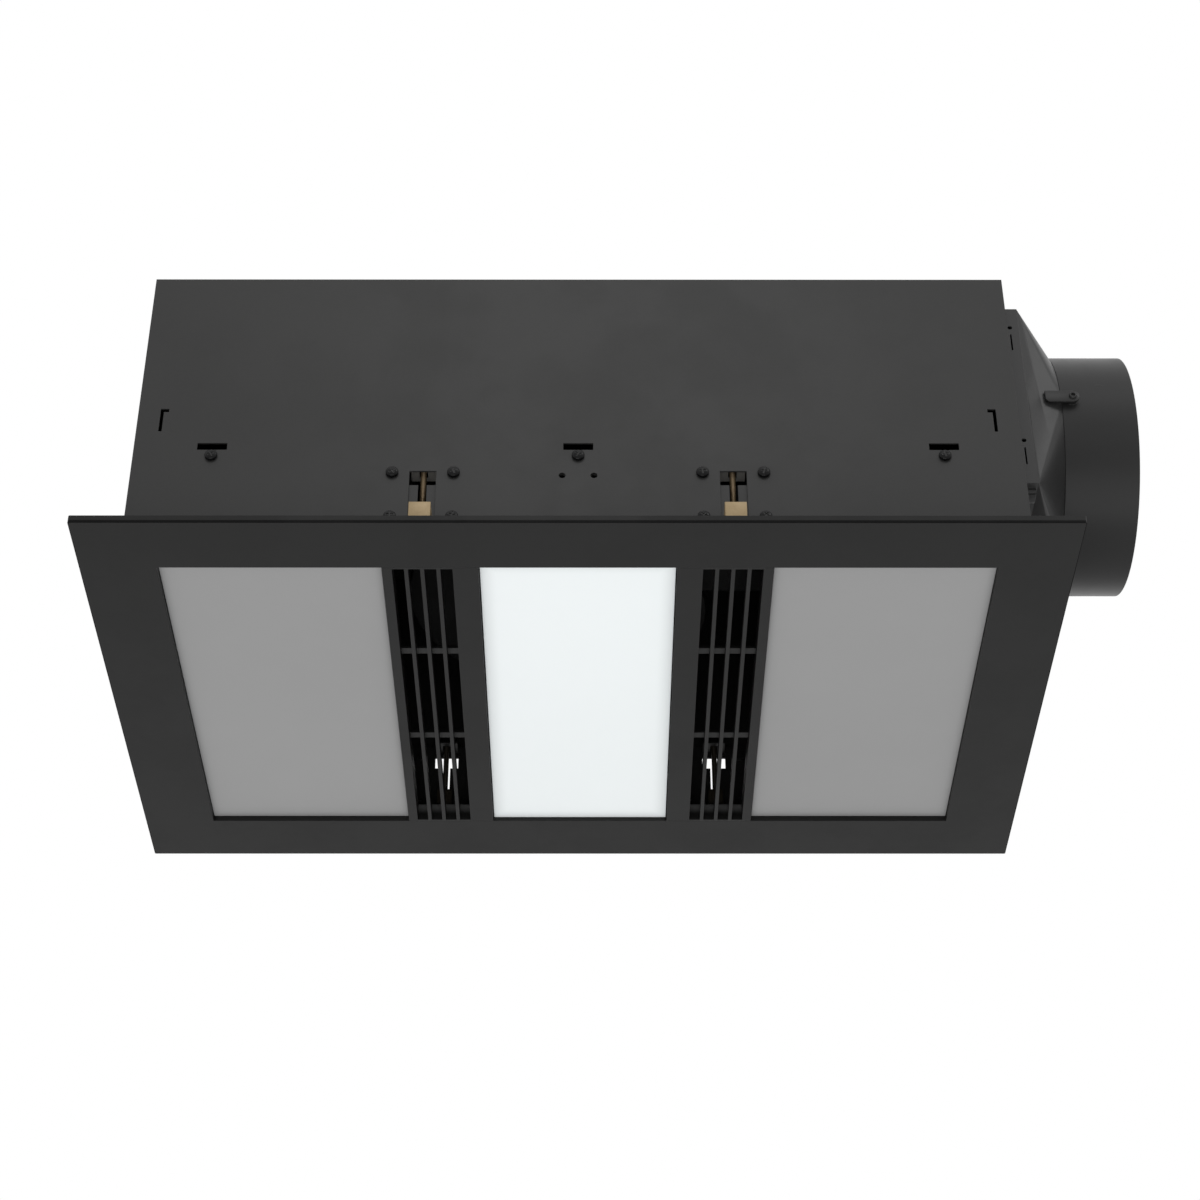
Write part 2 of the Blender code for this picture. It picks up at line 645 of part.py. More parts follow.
def fascia_rim():
    """Upright ring on the frame's web, round the opening, that holds the grilles' ends."""
    bottom = FASCIA_BOTTOM + FASCIA_WEB + GAP
    top = FASCIA_BOTTOM + RIM_HEIGHT
    outer_x = OPENING_X + RIM_WALL
    outer_y = OPENING_Y + RIM_WALL
    ring = block((-outer_x, -outer_y, bottom), (outer_x, outer_y, top))
    cut(ring, block((-OPENING_X, -OPENING_Y, bottom - OVERRUN), (OPENING_X, OPENING_Y, top + OVERRUN)))
    return piece("fascia_rim", ring, "black_plastic")


def grille(end, name):
    """Flush insert beside the light: two strips, long bars and flat cross bars behind them."""
    low_x = LIGHT_X + GAP
    high_x = GRILLE_OUTER_X - GAP
    reach = OPENING_Y - GAP
    top = FASCIA_BOTTOM + RIM_HEIGHT
    body = block((low_x, -reach, FASCIA_BOTTOM), (high_x, reach, top))
    slot_reach = reach - GRILLE_END
    cut(body, block((SLOT_INNER_X, -slot_reach, FASCIA_BOTTOM - OVERRUN),
                    (SLOT_OUTER_X, slot_reach, top + OVERRUN)))
    gap = (GRILLE_SLOT - GRILLE_BAR_COUNT * GRILLE_BAR) / (GRILLE_BAR_COUNT + 1)
    bar_top = FASCIA_BOTTOM + GRILLE_BAR_DEPTH
    hold = GRILLE_END / 2
    bars = []
    for step in range(GRILLE_BAR_COUNT):
        start = SLOT_INNER_X + gap + step * (gap + GRILLE_BAR)
        bars.append(block((start, -slot_reach - hold, FASCIA_BOTTOM),
                          (start + GRILLE_BAR, slot_reach + hold, bar_top)))
    cross = []
    for place in spread(CROSS_BAR_COUNT, reach):
        low_y = place - CROSS_BAR / 2
        cross.append(block((SLOT_INNER_X - hold, low_y, bar_top - hold),
                           (SLOT_OUTER_X + hold, low_y + CROSS_BAR, bar_top + CROSS_BAR_DEPTH)))
    join(body, grouped(bars))
    join(body, grouped(cross))
    if end < 0:
        body.data.transform(Matrix.Rotation(math.pi, 4, "Z"))
    return piece(name, body, "black_plastic")


def fascia_clip():
    """Bowed spring strip with a foot; it stands inside the end wall."""
    foot_bottom = FASCIA_BOTTOM + FASCIA_WEB + GAP
    wall = INNER_X - GAP
    root = wall - CLIP_BOW
    outer, inner = [], []
    for step in range(CLIP_STEPS + 1):
        share = step / CLIP_STEPS
        level = foot_bottom + share * CLIP_HEIGHT
        bow = CLIP_BOW * math.sin(math.pi * min(1.0, share * CLIP_BOW_SHARE))
        outer.append((root + bow, level))
        inner.append((root + bow - CLIP_SHEET, level))
    inner = inner[::-1][:-1]
    foot = [(root - CLIP_SHEET, foot_bottom + CLIP_SHEET), (root - CLIP_FOOT, foot_bottom + CLIP_SHEET),
            (root - CLIP_FOOT, foot_bottom)]
    half = CLIP_WIDTH / 2
    return prism([(x, -half, z) for x, z in outer + inner + foot], (0, CLIP_WIDTH, 0))


def fascia_clips():
    """Four clips, two at each end of the fascia."""
    clip = piece("clip_right_front", fascia_clip(), "spring_steel")
    clip.location = (0, -CLIP_OFFSET, 0)
    clips = [clip]
    places = (("clip_right_back", 1, 1), ("clip_left_front", -1, -1), ("clip_left_back", -1, 1))
    for name, end, side in places:
        other = copy_of(clip, name)
        other.location = (0, side * CLIP_OFFSET, 0)
        other.rotation_euler = (0, 0, 0 if end > 0 else math.pi)
        clips.append(other)
    return clips


def heater_panel(end, word):
    """One radiant panel: glass, seal, reflector, lamp, two lamp holders and a thermal cutout."""
    middle = Vector((end * PANEL_X, 0, 0))
    pieces = [
        piece("heater_glass_" + word, panel_glass(), "frosted_glass"),
        piece("glass_seal_" + word, panel_seal(), "silicone"),
        piece("reflector_" + word, panel_reflector(), "mirror_sheet"),
        piece("lamp_" + word, panel_lamp(), "quartz", smooth=True),
        piece("lamp_holder_front_" + word, lamp_holder(-1), "ceramic"),
        piece("lamp_holder_back_" + word, lamp_holder(1), "ceramic"),
        piece("thermal_cutout_" + word, thermal_cutout(), "black_plastic", smooth=True),
    ]
    for item in pieces:
        item.location = middle
    return pieces


def panel_glass():
    """Flat pane."""
    half_x = PANEL_LENGTH / 2
    half_y = PANEL_WIDTH / 2
    return block((-half_x, -half_y, GLASS_BOTTOM), (half_x, half_y, GLASS_BOTTOM + GLASS_THICKNESS))


def panel_seal():
    """Flat ring between the pane and the reflector's flange."""
    half_x = PANEL_LENGTH / 2
    half_y = PANEL_WIDTH / 2
    ring = block((-half_x, -half_y, SEAL_BOTTOM), (half_x, half_y, SEAL_BOTTOM + SEAL_THICKNESS))
    hole_x = half_x - SEAL_WIDTH
    hole_y = half_y - SEAL_WIDTH
    return cut(ring, block((-hole_x, -hole_y, SEAL_BOTTOM - OVERRUN),
                           (hole_x, hole_y, SEAL_BOTTOM + SEAL_THICKNESS + OVERRUN)))


def frustum(half_x, half_y, bottom, top_x, top_y, top):
    """A block whose top is smaller than its foot."""
    bm = bmesh.new()
    corners = ((-1, -1), (1, -1), (1, 1), (-1, 1))
    lower = [bm.verts.new((x * half_x, y * half_y, bottom)) for x, y in corners]
    upper = [bm.verts.new((x * top_x, y * top_y, top)) for x, y in corners]
    bm.faces.new(lower)
    bm.faces.new(upper)
    for step in range(len(corners)):
        after = (step + 1) % len(corners)
        bm.faces.new((lower[step], lower[after], upper[after], upper[step]))
    return shape(bm)


def panel_reflector():
    """Pressed tray with sloping walls and a flat flange round its mouth."""
    half_x = PANEL_LENGTH / 2
    half_y = PANEL_WIDTH / 2
    flange_top = REFLECTOR_BOTTOM + REFLECTOR_SHEET
    mouth_x = half_x - REFLECTOR_FLANGE
    mouth_y = half_y - REFLECTOR_FLANGE
    top_x = mouth_x - REFLECTOR_SLOPE
    top_y = mouth_y - REFLECTOR_SLOPE
    tray = block((-half_x, -half_y, REFLECTOR_BOTTOM), (half_x, half_y, flange_top))
    foot = REFLECTOR_BOTTOM + REFLECTOR_SHEET / 2
    join(tray, frustum(mouth_x, mouth_y, foot, top_x, top_y, REFLECTOR_TOP))
    wall = REFLECTOR_SHEET
    slope = REFLECTOR_SLOPE / REFLECTOR_DEPTH
    lower = OVERRUN * slope
    cut(tray, frustum(mouth_x - wall + lower, mouth_y - wall + lower, REFLECTOR_BOTTOM - OVERRUN,
                      top_x - wall, top_y - wall, REFLECTOR_TOP - wall))
    return tray


def panel_lamp():
    """Straight quartz lamp with narrowed ends."""
    half = lamp_half_length()
    tube_half = half - LAMP_END_LENGTH
    neck = tube_half + LAMP_PINCH
    profile = [(0, -half), (LAMP_END_RADIUS, -half), (LAMP_END_RADIUS, -neck), (LAMP_RADIUS, -tube_half),
               (LAMP_RADIUS, tube_half), (LAMP_END_RADIUS, neck), (LAMP_END_RADIUS, half), (0, half)]
    return turned(profile, (0, 0, lamp_level()), (0, 1, 0), SMALL_SIDES, False)


def lamp_level():
    """Height of the lamp's axis."""
    return REFLECTOR_BOTTOM + LAMP_RISE


def holder_face():
    """Distance from the panel's middle to the outer face of a lamp holder, at the sloping end wall."""
    slope = REFLECTOR_SLOPE / REFLECTOR_DEPTH
    mouth_y = PANEL_WIDTH / 2 - REFLECTOR_FLANGE - REFLECTOR_SHEET
    rise = LAMP_RISE + HOLDER_HEIGHT / 2
    return mouth_y - slope * rise - GAP


def lamp_half_length():
    """Half of the lamp, which ends inside its two holders."""
    return holder_face() - HOLDER_LENGTH / 2


def lamp_holder(side):
    """Ceramic block with a socket for the lamp's end and a back that follows the end wall."""
    slope = REFLECTOR_SLOPE / REFLECTOR_DEPTH
    half = HOLDER_WIDTH / 2
    low = lamp_level() - HOLDER_HEIGHT / 2
    high = lamp_level() + HOLDER_HEIGHT / 2
    back = holder_face()
    front = back - HOLDER_LENGTH
    outline = [(front, low), (back + slope * HOLDER_HEIGHT, low), (back, high), (front, high)]
    holder = prism([(-half, side * y, z) for y, z in outline], (HOLDER_WIDTH, 0, 0))
    depth = lamp_half_length() + GAP
    socket = rod((0, side * (front - OVERRUN), lamp_level()), (0, side * depth, lamp_level()),
                 LAMP_END_RADIUS + GAP)
    return cut(holder, socket)


def thermal_cutout():
    """Button-shaped safety switch with two ears, on the reflector's back beside the strap."""
    bottom = REFLECTOR_TOP + GAP
    ear_top = bottom + CUTOUT_EAR_SHEET
    place_x = -CUTOUT_RADIUS
    body = rod((place_x, 0, bottom), (place_x, 0, bottom + CUTOUT_HEIGHT), CUTOUT_RADIUS, ROUND_SIDES)
    half = CUTOUT_EAR_WIDTH / 2
    ears = block((place_x - half, -CUTOUT_EAR, bottom), (place_x + half, CUTOUT_EAR, ear_top))
    return join(body, ears)


def strap(name, middle, level):
    """Cross strap: a flat web and two upright ends below the walls' slots, with a screw in each."""
    half = STRAP_WIDTH / 2
    outer = INNER_Y - GAP
    inner = outer - STRAP_SHEET
    web_top = level + STRAP_SHEET
    outline = [(-outer, STRAP_TOP), (-outer, level), (outer, level), (outer, STRAP_TOP), (inner, STRAP_TOP),
               (inner, web_top), (-inner, web_top), (-inner, STRAP_TOP)]
    body = prism([(-half, y, z) for y, z in outline], (STRAP_WIDTH, 0, 0))
    screws = []
    for side in (-1, 1):
        seat = (0, side * (HALF_WIDTH + GAP), STRAP_SCREW_LEVEL)
        length = HOUSING_SHEET + 2 * GAP + STRAP_SHEET + OVERRUN
        screws.append(pan_screw(seat, (0, -side, 0), length))
    join(body, grouped(screws))
    if level < WIRE_HOLE_LEVEL:
        holes = [wall_hole(end * WIRE_HOLE_OFFSET, WIRE_HOLE_LEVEL, -HALF_WIDTH, HALF_WIDTH, WIRE_HOLE_RADIUS)
                 for end in (-1, 1)]
        cut(body, grouped(holes))
    body.location = (middle, 0, 0)
    return piece(name, body, "galvanised")


def light_panel():
    """Light panel: diffuser, tray, board with its light sources, and driver."""
    half_x = LIGHT_X - GAP
    half_y = PANEL_WIDTH / 2
    pane_top = DIFFUSER_BOTTOM + DIFFUSER_THICKNESS
    diffuser = block((-half_x, -half_y, DIFFUSER_BOTTOM), (half_x, half_y, pane_top))
    tray = block((-half_x, -half_y, TRAY_BOTTOM), (half_x, half_y, TRAY_TOP))
    wall_x = half_x - TRAY_SHEET
    wall_y = half_y - TRAY_SHEET
    ledge_x = half_x - TRAY_LEDGE
    ledge_y = half_y - TRAY_LEDGE
    cut(tray, block((-wall_x, -wall_y, TRAY_BOTTOM + TRAY_SHEET),
                    (wall_x, wall_y, TRAY_TOP - TRAY_SHEET)))
    cut(tray, block((-ledge_x, -ledge_y, TRAY_BOTTOM - OVERRUN),
                    (ledge_x, ledge_y, TRAY_BOTTOM + OVERRUN)))
    return [
        piece("light_diffuser", diffuser, "opal"),
        piece("light_tray", tray, "white_sheet"),
        piece("led_board", led_board(half_x, half_y), "board"),
        piece("light_driver", light_driver(), "white_plastic"),
    ]


def led_board(half_x, half_y):
    """Board under the tray's roof with rows of small light sources on its lower face."""
    board_x = half_x - BOARD_MARGIN
    board_y = half_y - BOARD_MARGIN
    top = TRAY_TOP - TRAY_SHEET - GAP
    bottom = top - BOARD_THICKNESS
    board = block((-board_x, -board_y, bottom), (board_x, board_y, top))
    half = LED_LENGTH / 2
    sources = []
    for x in spread(LED_ROWS, board_x):
        for y in spread(LEDS_IN_A_ROW, board_y):
            sources.append(block((x - half, y - half, bottom - LED_HEIGHT),
                                 (x + half, y + half, bottom + BOARD_THICKNESS / 2)))
    return join(board, grouped(sources))


def light_driver():
    """Box with two flat ears, on the tray and beside the strap."""
    bottom = TRAY_TOP + GAP
    low_x = STRAP_WIDTH / 2 + GAP
    high_x = low_x + DRIVER_WIDTH
    half_y = DRIVER_LENGTH / 2
    ear_y = half_y + DRIVER_FLANGE
    body = block((low_x, -half_y, bottom), (high_x, half_y, bottom + DRIVER_HEIGHT))
    ears = block((low_x, -ear_y, bottom), (high_x, ear_y, bottom + DRIVER_FLANGE_SHEET))
    return join(body, ears)


def clamp_bracket():
    """Plate behind the wall with a lanced tab, a long slot, a foot and four screws; +Y is inward."""
    front = HOUSING_SHEET + GAP
    back = front + CLAMP_SHEET
    depth = front + CLAMP_TAB_DEPTH
    half = CLAMP_PLATE_WIDTH / 2
    notch = CLAMP_WINDOW_WIDTH / 2
    tab = notch - GAP
    foot = CLAMP_FOOT_WIDTH / 2
    slot = CLAMP_SLOT_WIDTH / 2
    foot_top = CLAMP_PLATE_BOTTOM + CLAMP_SHEET
    tab_top = CLAMP_TAB_LEVEL + CLAMP_SHEET
    before = front - OVERRUN
    beyond = back + OVERRUN
    plate = block((-half, front, CLAMP_PLATE_BOTTOM), (half, back, CLAMP_PLATE_TOP))
    cut(plate,
        block((-notch, before, CLAMP_NOTCH_BOTTOM), (notch, beyond, CLAMP_TAB_LEVEL)),
        block((-slot, before, CLAMP_SLOT_BOTTOM), (slot, beyond, CLAMP_NOTCH_BOTTOM + OVERRUN)))
    join(plate,
         block((-tab, front, CLAMP_TAB_LEVEL), (tab, depth, tab_top)),
         block((-foot, front, CLAMP_PLATE_BOTTOM), (foot, front + CLAMP_FOOT_DEPTH, foot_top)))
    cut(plate,
        block((-slot, before, CLAMP_TAB_LEVEL - OVERRUN), (slot, ROD_DEPTH + slot, tab_top + GAP)),
        rod((0, ROD_DEPTH, CLAMP_PLATE_BOTTOM - OVERRUN), (0, ROD_DEPTH, foot_top + OVERRUN),
            ROD_RADIUS + GAP))
    screws = []
    length = back + OVERRUN + GAP
    for across in (-1, 1):
        for level in (CLAMP_SCREW_LOWER, CLAMP_SCREW_UPPER):
            screws.append(pan_screw((across * CLAMP_SCREW_PITCH_X / 2, -GAP, level), (0, 1, 0), length))
    return join(plate, grouped(screws))


def clamp_screw():
    """Long screw with a slotted head below and a small shoulder above the bracket's foot."""
    head_top = ROD_BOTTOM + ROD_HEAD_HEIGHT
    shoulder = CLAMP_PLATE_BOTTOM + CLAMP_SHEET + GAP
    shoulder_top = shoulder + ROD_COLLAR_HEIGHT
    profile = [(0, ROD_BOTTOM), (ROD_HEAD_RADIUS, ROD_BOTTOM), (ROD_HEAD_RADIUS, head_top),
               (ROD_RADIUS, head_top), (ROD_RADIUS, shoulder), (ROD_COLLAR_RADIUS, shoulder),
               (ROD_COLLAR_RADIUS, shoulder_top), (ROD_RADIUS, shoulder_top),
               (ROD_RADIUS, CLAMP_PLATE_TOP), (0, CLAMP_PLATE_TOP)]
    screw = turned(profile, (0, ROD_DEPTH, 0), (0, 0, 1), SMALL_SIDES, False)
    half = ROD_HEAD_SLOT / 2
    reach = ROD_HEAD_RADIUS + OVERRUN
    return cut(screw, block((-half, ROD_DEPTH - reach, ROD_BOTTOM - OVERRUN),
                            (half, ROD_DEPTH + reach, ROD_BOTTOM + ROD_HEAD_SLOT)))


def clamp_jaw():
    """Jaw outside the wall, a neck through the bracket's slot and a nut round the screw."""
    top = JAW_BOTTOM + JAW_HEIGHT
    plate_front = HOUSING_SHEET + GAP
    plate_back = plate_front + CLAMP_SHEET
    half = JAW_WIDTH / 2
    nut = JAW_NUT_WIDTH / 2
    neck = CLAMP_SLOT_WIDTH / 2 - GAP
    nut_front = plate_back + GAP
    jaw = block((-half, -JAW_REACH, JAW_BOTTOM), (half, plate_front - GAP, top))
    body = block((-nut, nut_front, JAW_BOTTOM), (nut, nut_front + JAW_NUT_DEPTH, top))
    link = block((-neck, plate_front - 2 * GAP, JAW_BOTTOM + JAW_NECK_MARGIN),
                 (neck, nut_front + GAP, top - JAW_NECK_MARGIN))
    join(jaw, body, link)
    thread = rod((0, ROD_DEPTH, JAW_BOTTOM - OVERRUN), (0, ROD_DEPTH, top + OVERRUN), ROD_RADIUS + GAP)
    return cut(jaw, thread)


def clamps():
    """Four ceiling clamps, two in each long wall."""
    bracket = piece("clamp_bracket_front_left", clamp_bracket(), "black_sheet")
    screw = piece("clamp_screw_front_left", clamp_screw(), "bronze", smooth=True)
    jaw = piece("clamp_jaw_front_left", clamp_jaw(), "bronze")
    for item in (screw, jaw):
        set_origin(item, (0, ROD_DEPTH, 0))
    masters = (bracket, screw, jaw)
    words = ("clamp_bracket_", "clamp_screw_", "clamp_jaw_")
    places = (("front_right", 1, -1), ("back_left", -1, 1), ("back_right", 1, 1))
    for corner, end, side in places:
        for master, word in zip(masters, words):
            place_clamp(copy_of(master, word + corner), master is bracket, end, side)
    for master in masters:
        place_clamp(master, master is bracket, -1, -1)


def place_clamp(item, fixed, end, side):
    """Set a clamp's piece in its wall, turned to face outward."""
    depth = 0 if fixed else ROD_DEPTH
    item.rotation_euler = (0, 0, 0 if side < 0 else math.pi)
    item.location = (end * CLAMP_OFFSET, side * (HALF_WIDTH - depth), 0)


def scroll_outline(inset, end_x):
    """Spiral wall of the fan's scroll with its straight outlet, drawn inside the sheet by an inset."""
    turn_end = -math.pi / 2 + math.tau
    points = []
    for step in range(SCROLL_STEPS + 1):
        share = step / SCROLL_STEPS
        angle = TONGUE_ANGLE + share * (turn_end - TONGUE_ANGLE)
        radius = SCROLL_START_RADIUS + share * (SCROLL_END_RADIUS - SCROLL_START_RADIUS) - inset
        points.append((radius * math.cos(angle), FAN_Y + radius * math.sin(angle)))
    points.append((end_x, OUTLET_FRONT + inset))
    points.append((end_x, OUTLET_BACK - inset))
    return points


def fan_scroll():
    """Spiral casing with a floor, an inlet hole and a flanged outlet."""
    end_x = INNER_X - GAP
    outer = [(x, y, SCROLL_BOTTOM) for x, y in scroll_outline(-SCROLL_SHEET, end_x)]
    casing = prism(outer, (0, 0, SCROLL_HEIGHT))
    flange_low = (end_x - SCROLL_SHEET, OUTLET_FRONT - SCROLL_FLANGE, SCROLL_BOTTOM - SCROLL_FLANGE)
    flange_high = (end_x, OUTLET_BACK + SCROLL_FLANGE, SCROLL_TOP + SCROLL_FLANGE)
    join(casing, block(flange_low, flange_high))
    floor = SCROLL_BOTTOM + SCROLL_SHEET
    inner = [(x, y, floor) for x, y in scroll_outline(0, end_x + OVERRUN)]
    cut(casing, prism(inner, (0, 0, SCROLL_HEIGHT - 2 * SCROLL_SHEET)))
    crown = [(x, y, floor) for x, y in scroll_outline(0, end_x - SCROLL_SHEET - GAP)]
    cut(casing, prism(crown, (0, 0, SCROLL_HEIGHT)))
    hole = inlet_radius() + 2 * GAP
    cut(casing, rod((0, FAN_Y, SCROLL_BOTTOM - OVERRUN), (0, FAN_Y, floor + OVERRUN), hole, RING_SIDES))
    return piece("fan_scroll", casing, "black_plastic", smooth=True)


def scroll_lid():
    """Flat lid on the scroll, with the shaft's hole."""
    end_x = INNER_X - 2 * GAP - 2 * SCROLL_SHEET
    bottom = SCROLL_TOP + GAP
    lid = prism([(x, y, bottom) for x, y in scroll_outline(-SCROLL_SHEET, end_x)], (0, 0, SCROLL_SHEET))
    low, high = (0, FAN_Y, bottom - OVERRUN), (0, FAN_Y, bottom + OVERRUN)
    cut(lid, rod(low, high, LID_HOLE_RADIUS, ROUND_SIDES))
    return piece("scroll_lid", lid, "black_plastic", smooth=True)


def inlet_radius():
    """Outer radius of the inlet ring's throat, inside the impeller's eye."""
    return IMPELLER_EYE_RADIUS - INLET_THROAT_GAP


def inlet_ring():
    """Turned bellmouth under the scroll's floor that guides air into the impeller."""
    outer = inlet_radius()
    bore = outer - INLET_SHEET
    flange_top = SCROLL_BOTTOM - GAP
    flange_bottom = flange_top - INLET_SHEET
    top = SCROLL_BOTTOM + INLET_DEPTH
    brim = outer + INLET_FLANGE
    profile = [(brim, flange_bottom), (brim, flange_top), (outer, flange_top), (outer, top), (bore, top),
               (bore, flange_top + INLET_SHEET), (bore + INLET_SHEET, flange_bottom)]
    ring = turned(profile, (0, FAN_Y, 0), (0, 0, 1), RING_SIDES, True)
    return piece("inlet_ring", ring, "black_plastic", smooth=True)


def blade(angle):
    """One forward-curved blade, as a thin curved prism."""
    half = BLADE_SHEET / 2
    inner = IMPELLER_EYE_RADIUS + half
    outer = IMPELLER_RADIUS - half
    centre_line = []
    for step in range(BLADE_STEPS + 1):
        share = step / BLADE_STEPS
        radius = inner + share * (outer - inner)
        turn = angle + BLADE_LEAN_SHARE * share * share
        centre_line.append(Vector((radius * math.cos(turn), radius * math.sin(turn), 0)))
    left, right = [], []
    for step, point in enumerate(centre_line):
        after = centre_line[min(step + 1, BLADE_STEPS)]
        before = centre_line[max(step - 1, 0)]
        along = (after - before).normalized()
        across = Vector((-along.y, along.x, 0)) * half
        left.append(point + across)
        right.append(point - across)
    base = Vector((0, 0, IMPELLER_BOTTOM + IMPELLER_DISC / 2))
    outline = [point + base for point in left + right[::-1]]
    return prism(outline, (0, 0, IMPELLER_HEIGHT - IMPELLER_DISC))


def impeller():
    """Squirrel-cage wheel: back disc, hub, end ring and curved blades."""
    disc_bottom = IMPELLER_TOP - IMPELLER_DISC
    hub_bottom = IMPELLER_TOP - IMPELLER_HUB_HEIGHT
    bore = SHAFT_RADIUS + GAP
    disc = [(bore, IMPELLER_TOP), (IMPELLER_RADIUS, IMPELLER_TOP), (IMPELLER_RADIUS, disc_bottom),
            (IMPELLER_HUB_RADIUS, disc_bottom), (IMPELLER_HUB_RADIUS, hub_bottom), (bore, hub_bottom)]
    ring_top = IMPELLER_BOTTOM + IMPELLER_DISC
    ring = [(IMPELLER_EYE_RADIUS, IMPELLER_BOTTOM), (IMPELLER_RADIUS, IMPELLER_BOTTOM),
            (IMPELLER_RADIUS, ring_top), (IMPELLER_EYE_RADIUS, ring_top)]
    wheel = turned(disc, (0, 0, 0), (0, 0, 1), RING_SIDES, True)
    eye = turned(ring, (0, 0, 0), (0, 0, 1), RING_SIDES, True)
    blades = grouped([blade(math.tau * step / BLADE_COUNT) for step in range(BLADE_COUNT)])
    join(wheel, blades)
    join(wheel, eye)
    wheel.location = (0, FAN_Y, 0)
    return piece("impeller", wheel, "black_plastic", smooth=True)


def motor():
    """Flat can motor on the lid, with three feet and a bore for the shaft."""
    bottom = SCROLL_TOP + 2 * GAP + SCROLL_SHEET
    top = bottom + MOTOR_HEIGHT
    profile = [(0, bottom), (MOTOR_RADIUS, bottom), (MOTOR_RADIUS, top - MOTOR_FILLET)]
    for step in range(1, MOTOR_FILLET_STEPS + 1):
        angle = step / MOTOR_FILLET_STEPS * math.pi / 2
        profile.append((MOTOR_RADIUS - MOTOR_FILLET * (1 - math.cos(angle)),
                        top - MOTOR_FILLET * (1 - math.sin(angle))))
    profile.append((0, top))
    can = turned(profile, (0, 0, 0), (0, 0, 1), ROUND_SIDES, False)
    half = MOTOR_LUG_WIDTH / 2
    lugs = []
    for step in range(MOTOR_LUG_COUNT):
        lug = block((MOTOR_RADIUS - MOTOR_FILLET, -half, bottom),
                    (MOTOR_RADIUS + MOTOR_LUG_REACH, half, bottom + MOTOR_LUG_SHEET))
        lug.data.transform(Matrix.Rotation(math.tau * step / MOTOR_LUG_COUNT, 4, "Z"))
        lugs.append(lug)
    join(can, *lugs)
    cut(can, rod((0, 0, bottom - OVERRUN), (0, 0, top - MOTOR_FILLET + GAP), SHAFT_RADIUS + GAP))
    can.location = (0, FAN_Y, 0)
    return piece("fan_motor", can, "galvanised", smooth=True)


def motor_shaft():
    """Shaft from the motor down into the impeller's hub."""
    bottom = IMPELLER_TOP - IMPELLER_HUB_HEIGHT
    top = SCROLL_TOP + 2 * GAP + SCROLL_SHEET + MOTOR_HEIGHT - MOTOR_FILLET
    shaft = rod((0, 0, bottom), (0, 0, top), SHAFT_RADIUS)
    shaft.location = (0, FAN_Y, 0)
    return piece("motor_shaft", shaft, "spring_steel", smooth=True)


def duct_plate():
    """Backing plate between the housing's end wall and the hood."""
    plate = block((PLATE_X, DUCT_Y - PLATE_HALF_Y, DUCT_LEVEL - PLATE_HALF_Z),
                  (PLATE_X + DUCT_PLATE_SHEET, DUCT_Y + PLATE_HALF_Y, DUCT_LEVEL + PLATE_HALF_Z))
    half_y = PLATE_HALF_Y - DUCT_PLATE_FRAME_Y
    half_z = PLATE_HALF_Z - DUCT_PLATE_FRAME_Z
    way = block((PLATE_X - OVERRUN, DUCT_Y - half_y, DUCT_LEVEL - half_z),
                (PLATE_X + OVERRUN, DUCT_Y + half_y, DUCT_LEVEL + half_z))
    return piece("duct_plate", cut(plate, way), "black_sheet")


def hood_skin(inset, start_x, end_x, spigot_radius, step_radius):
    """Closed skin from a rectangle through a round mouth to a spigot, inside the sheet by an inset."""
    bm = bmesh.new()
    half_y = PLATE_HALF_Y - inset
    half_z = PLATE_HALF_Z - inset
    corners = ((1, 1), (-1, 1), (-1, -1), (1, -1))
    base = [bm.verts.new((start_x, y * half_y, z * half_z)) for y, z in corners]
    brim = [bm.verts.new((HOOD_X, y * half_y, z * half_z)) for y, z in corners]

    def circle(x, radius):
        turns = [math.tau * step / DUCT_SIDES for step in range(DUCT_SIDES)]
        return [bm.verts.new((x, radius * math.cos(turn), radius * math.sin(turn))) for turn in turns]

    mouth = circle(RIM_X, step_radius)
    quarter = DUCT_SIDES // 4
    for corner in range(4):
        after = (corner + 1) % 4
        bm.faces.new((base[corner], base[after], brim[after], brim[corner]))
        for step in range(quarter):
            first = (corner * quarter + step) % DUCT_SIDES
            bm.faces.new((brim[corner], mouth[first], mouth[(first + 1) % DUCT_SIDES]))
        bm.faces.new((brim[corner], mouth[(corner + 1) * quarter % DUCT_SIDES], brim[after]))
    rings = [mouth]
    if spigot_radius != step_radius:
        rings.append(circle(RIM_X, spigot_radius))
    rings.append(circle(end_x, spigot_radius))
    for near, far in zip(rings, rings[1:]):
        for step in range(DUCT_SIDES):
            after = (step + 1) % DUCT_SIDES
            bm.faces.new((near[step], near[after], far[after], far[step]))
    bm.faces.new(base)
    bm.faces.new(rings[-1])
    made = shape(bm)
    made.data.transform(Matrix.Translation((0, DUCT_Y, DUCT_LEVEL)))
    return made


def duct_hood():
    """Square-to-round hood with flat triangles, conical corners and a spigot for the collar."""
    spigot = DUCT_RADIUS - DUCT_SHEET - GAP
    hood = hood_skin(0, PAN_X, RIM_X + DUCT_SPIGOT, spigot, DUCT_RADIUS)
    bore = spigot - DUCT_SHEET
    cut(hood, hood_skin(DUCT_SHEET, PAN_X - OVERRUN, RIM_X + DUCT_SPIGOT + OVERRUN, bore, bore))
    cut(hood, grouped(pan_slots()))
    join(hood, *pan_lugs())
    return piece("duct_hood", hood, "dark_duct", smooth=True)


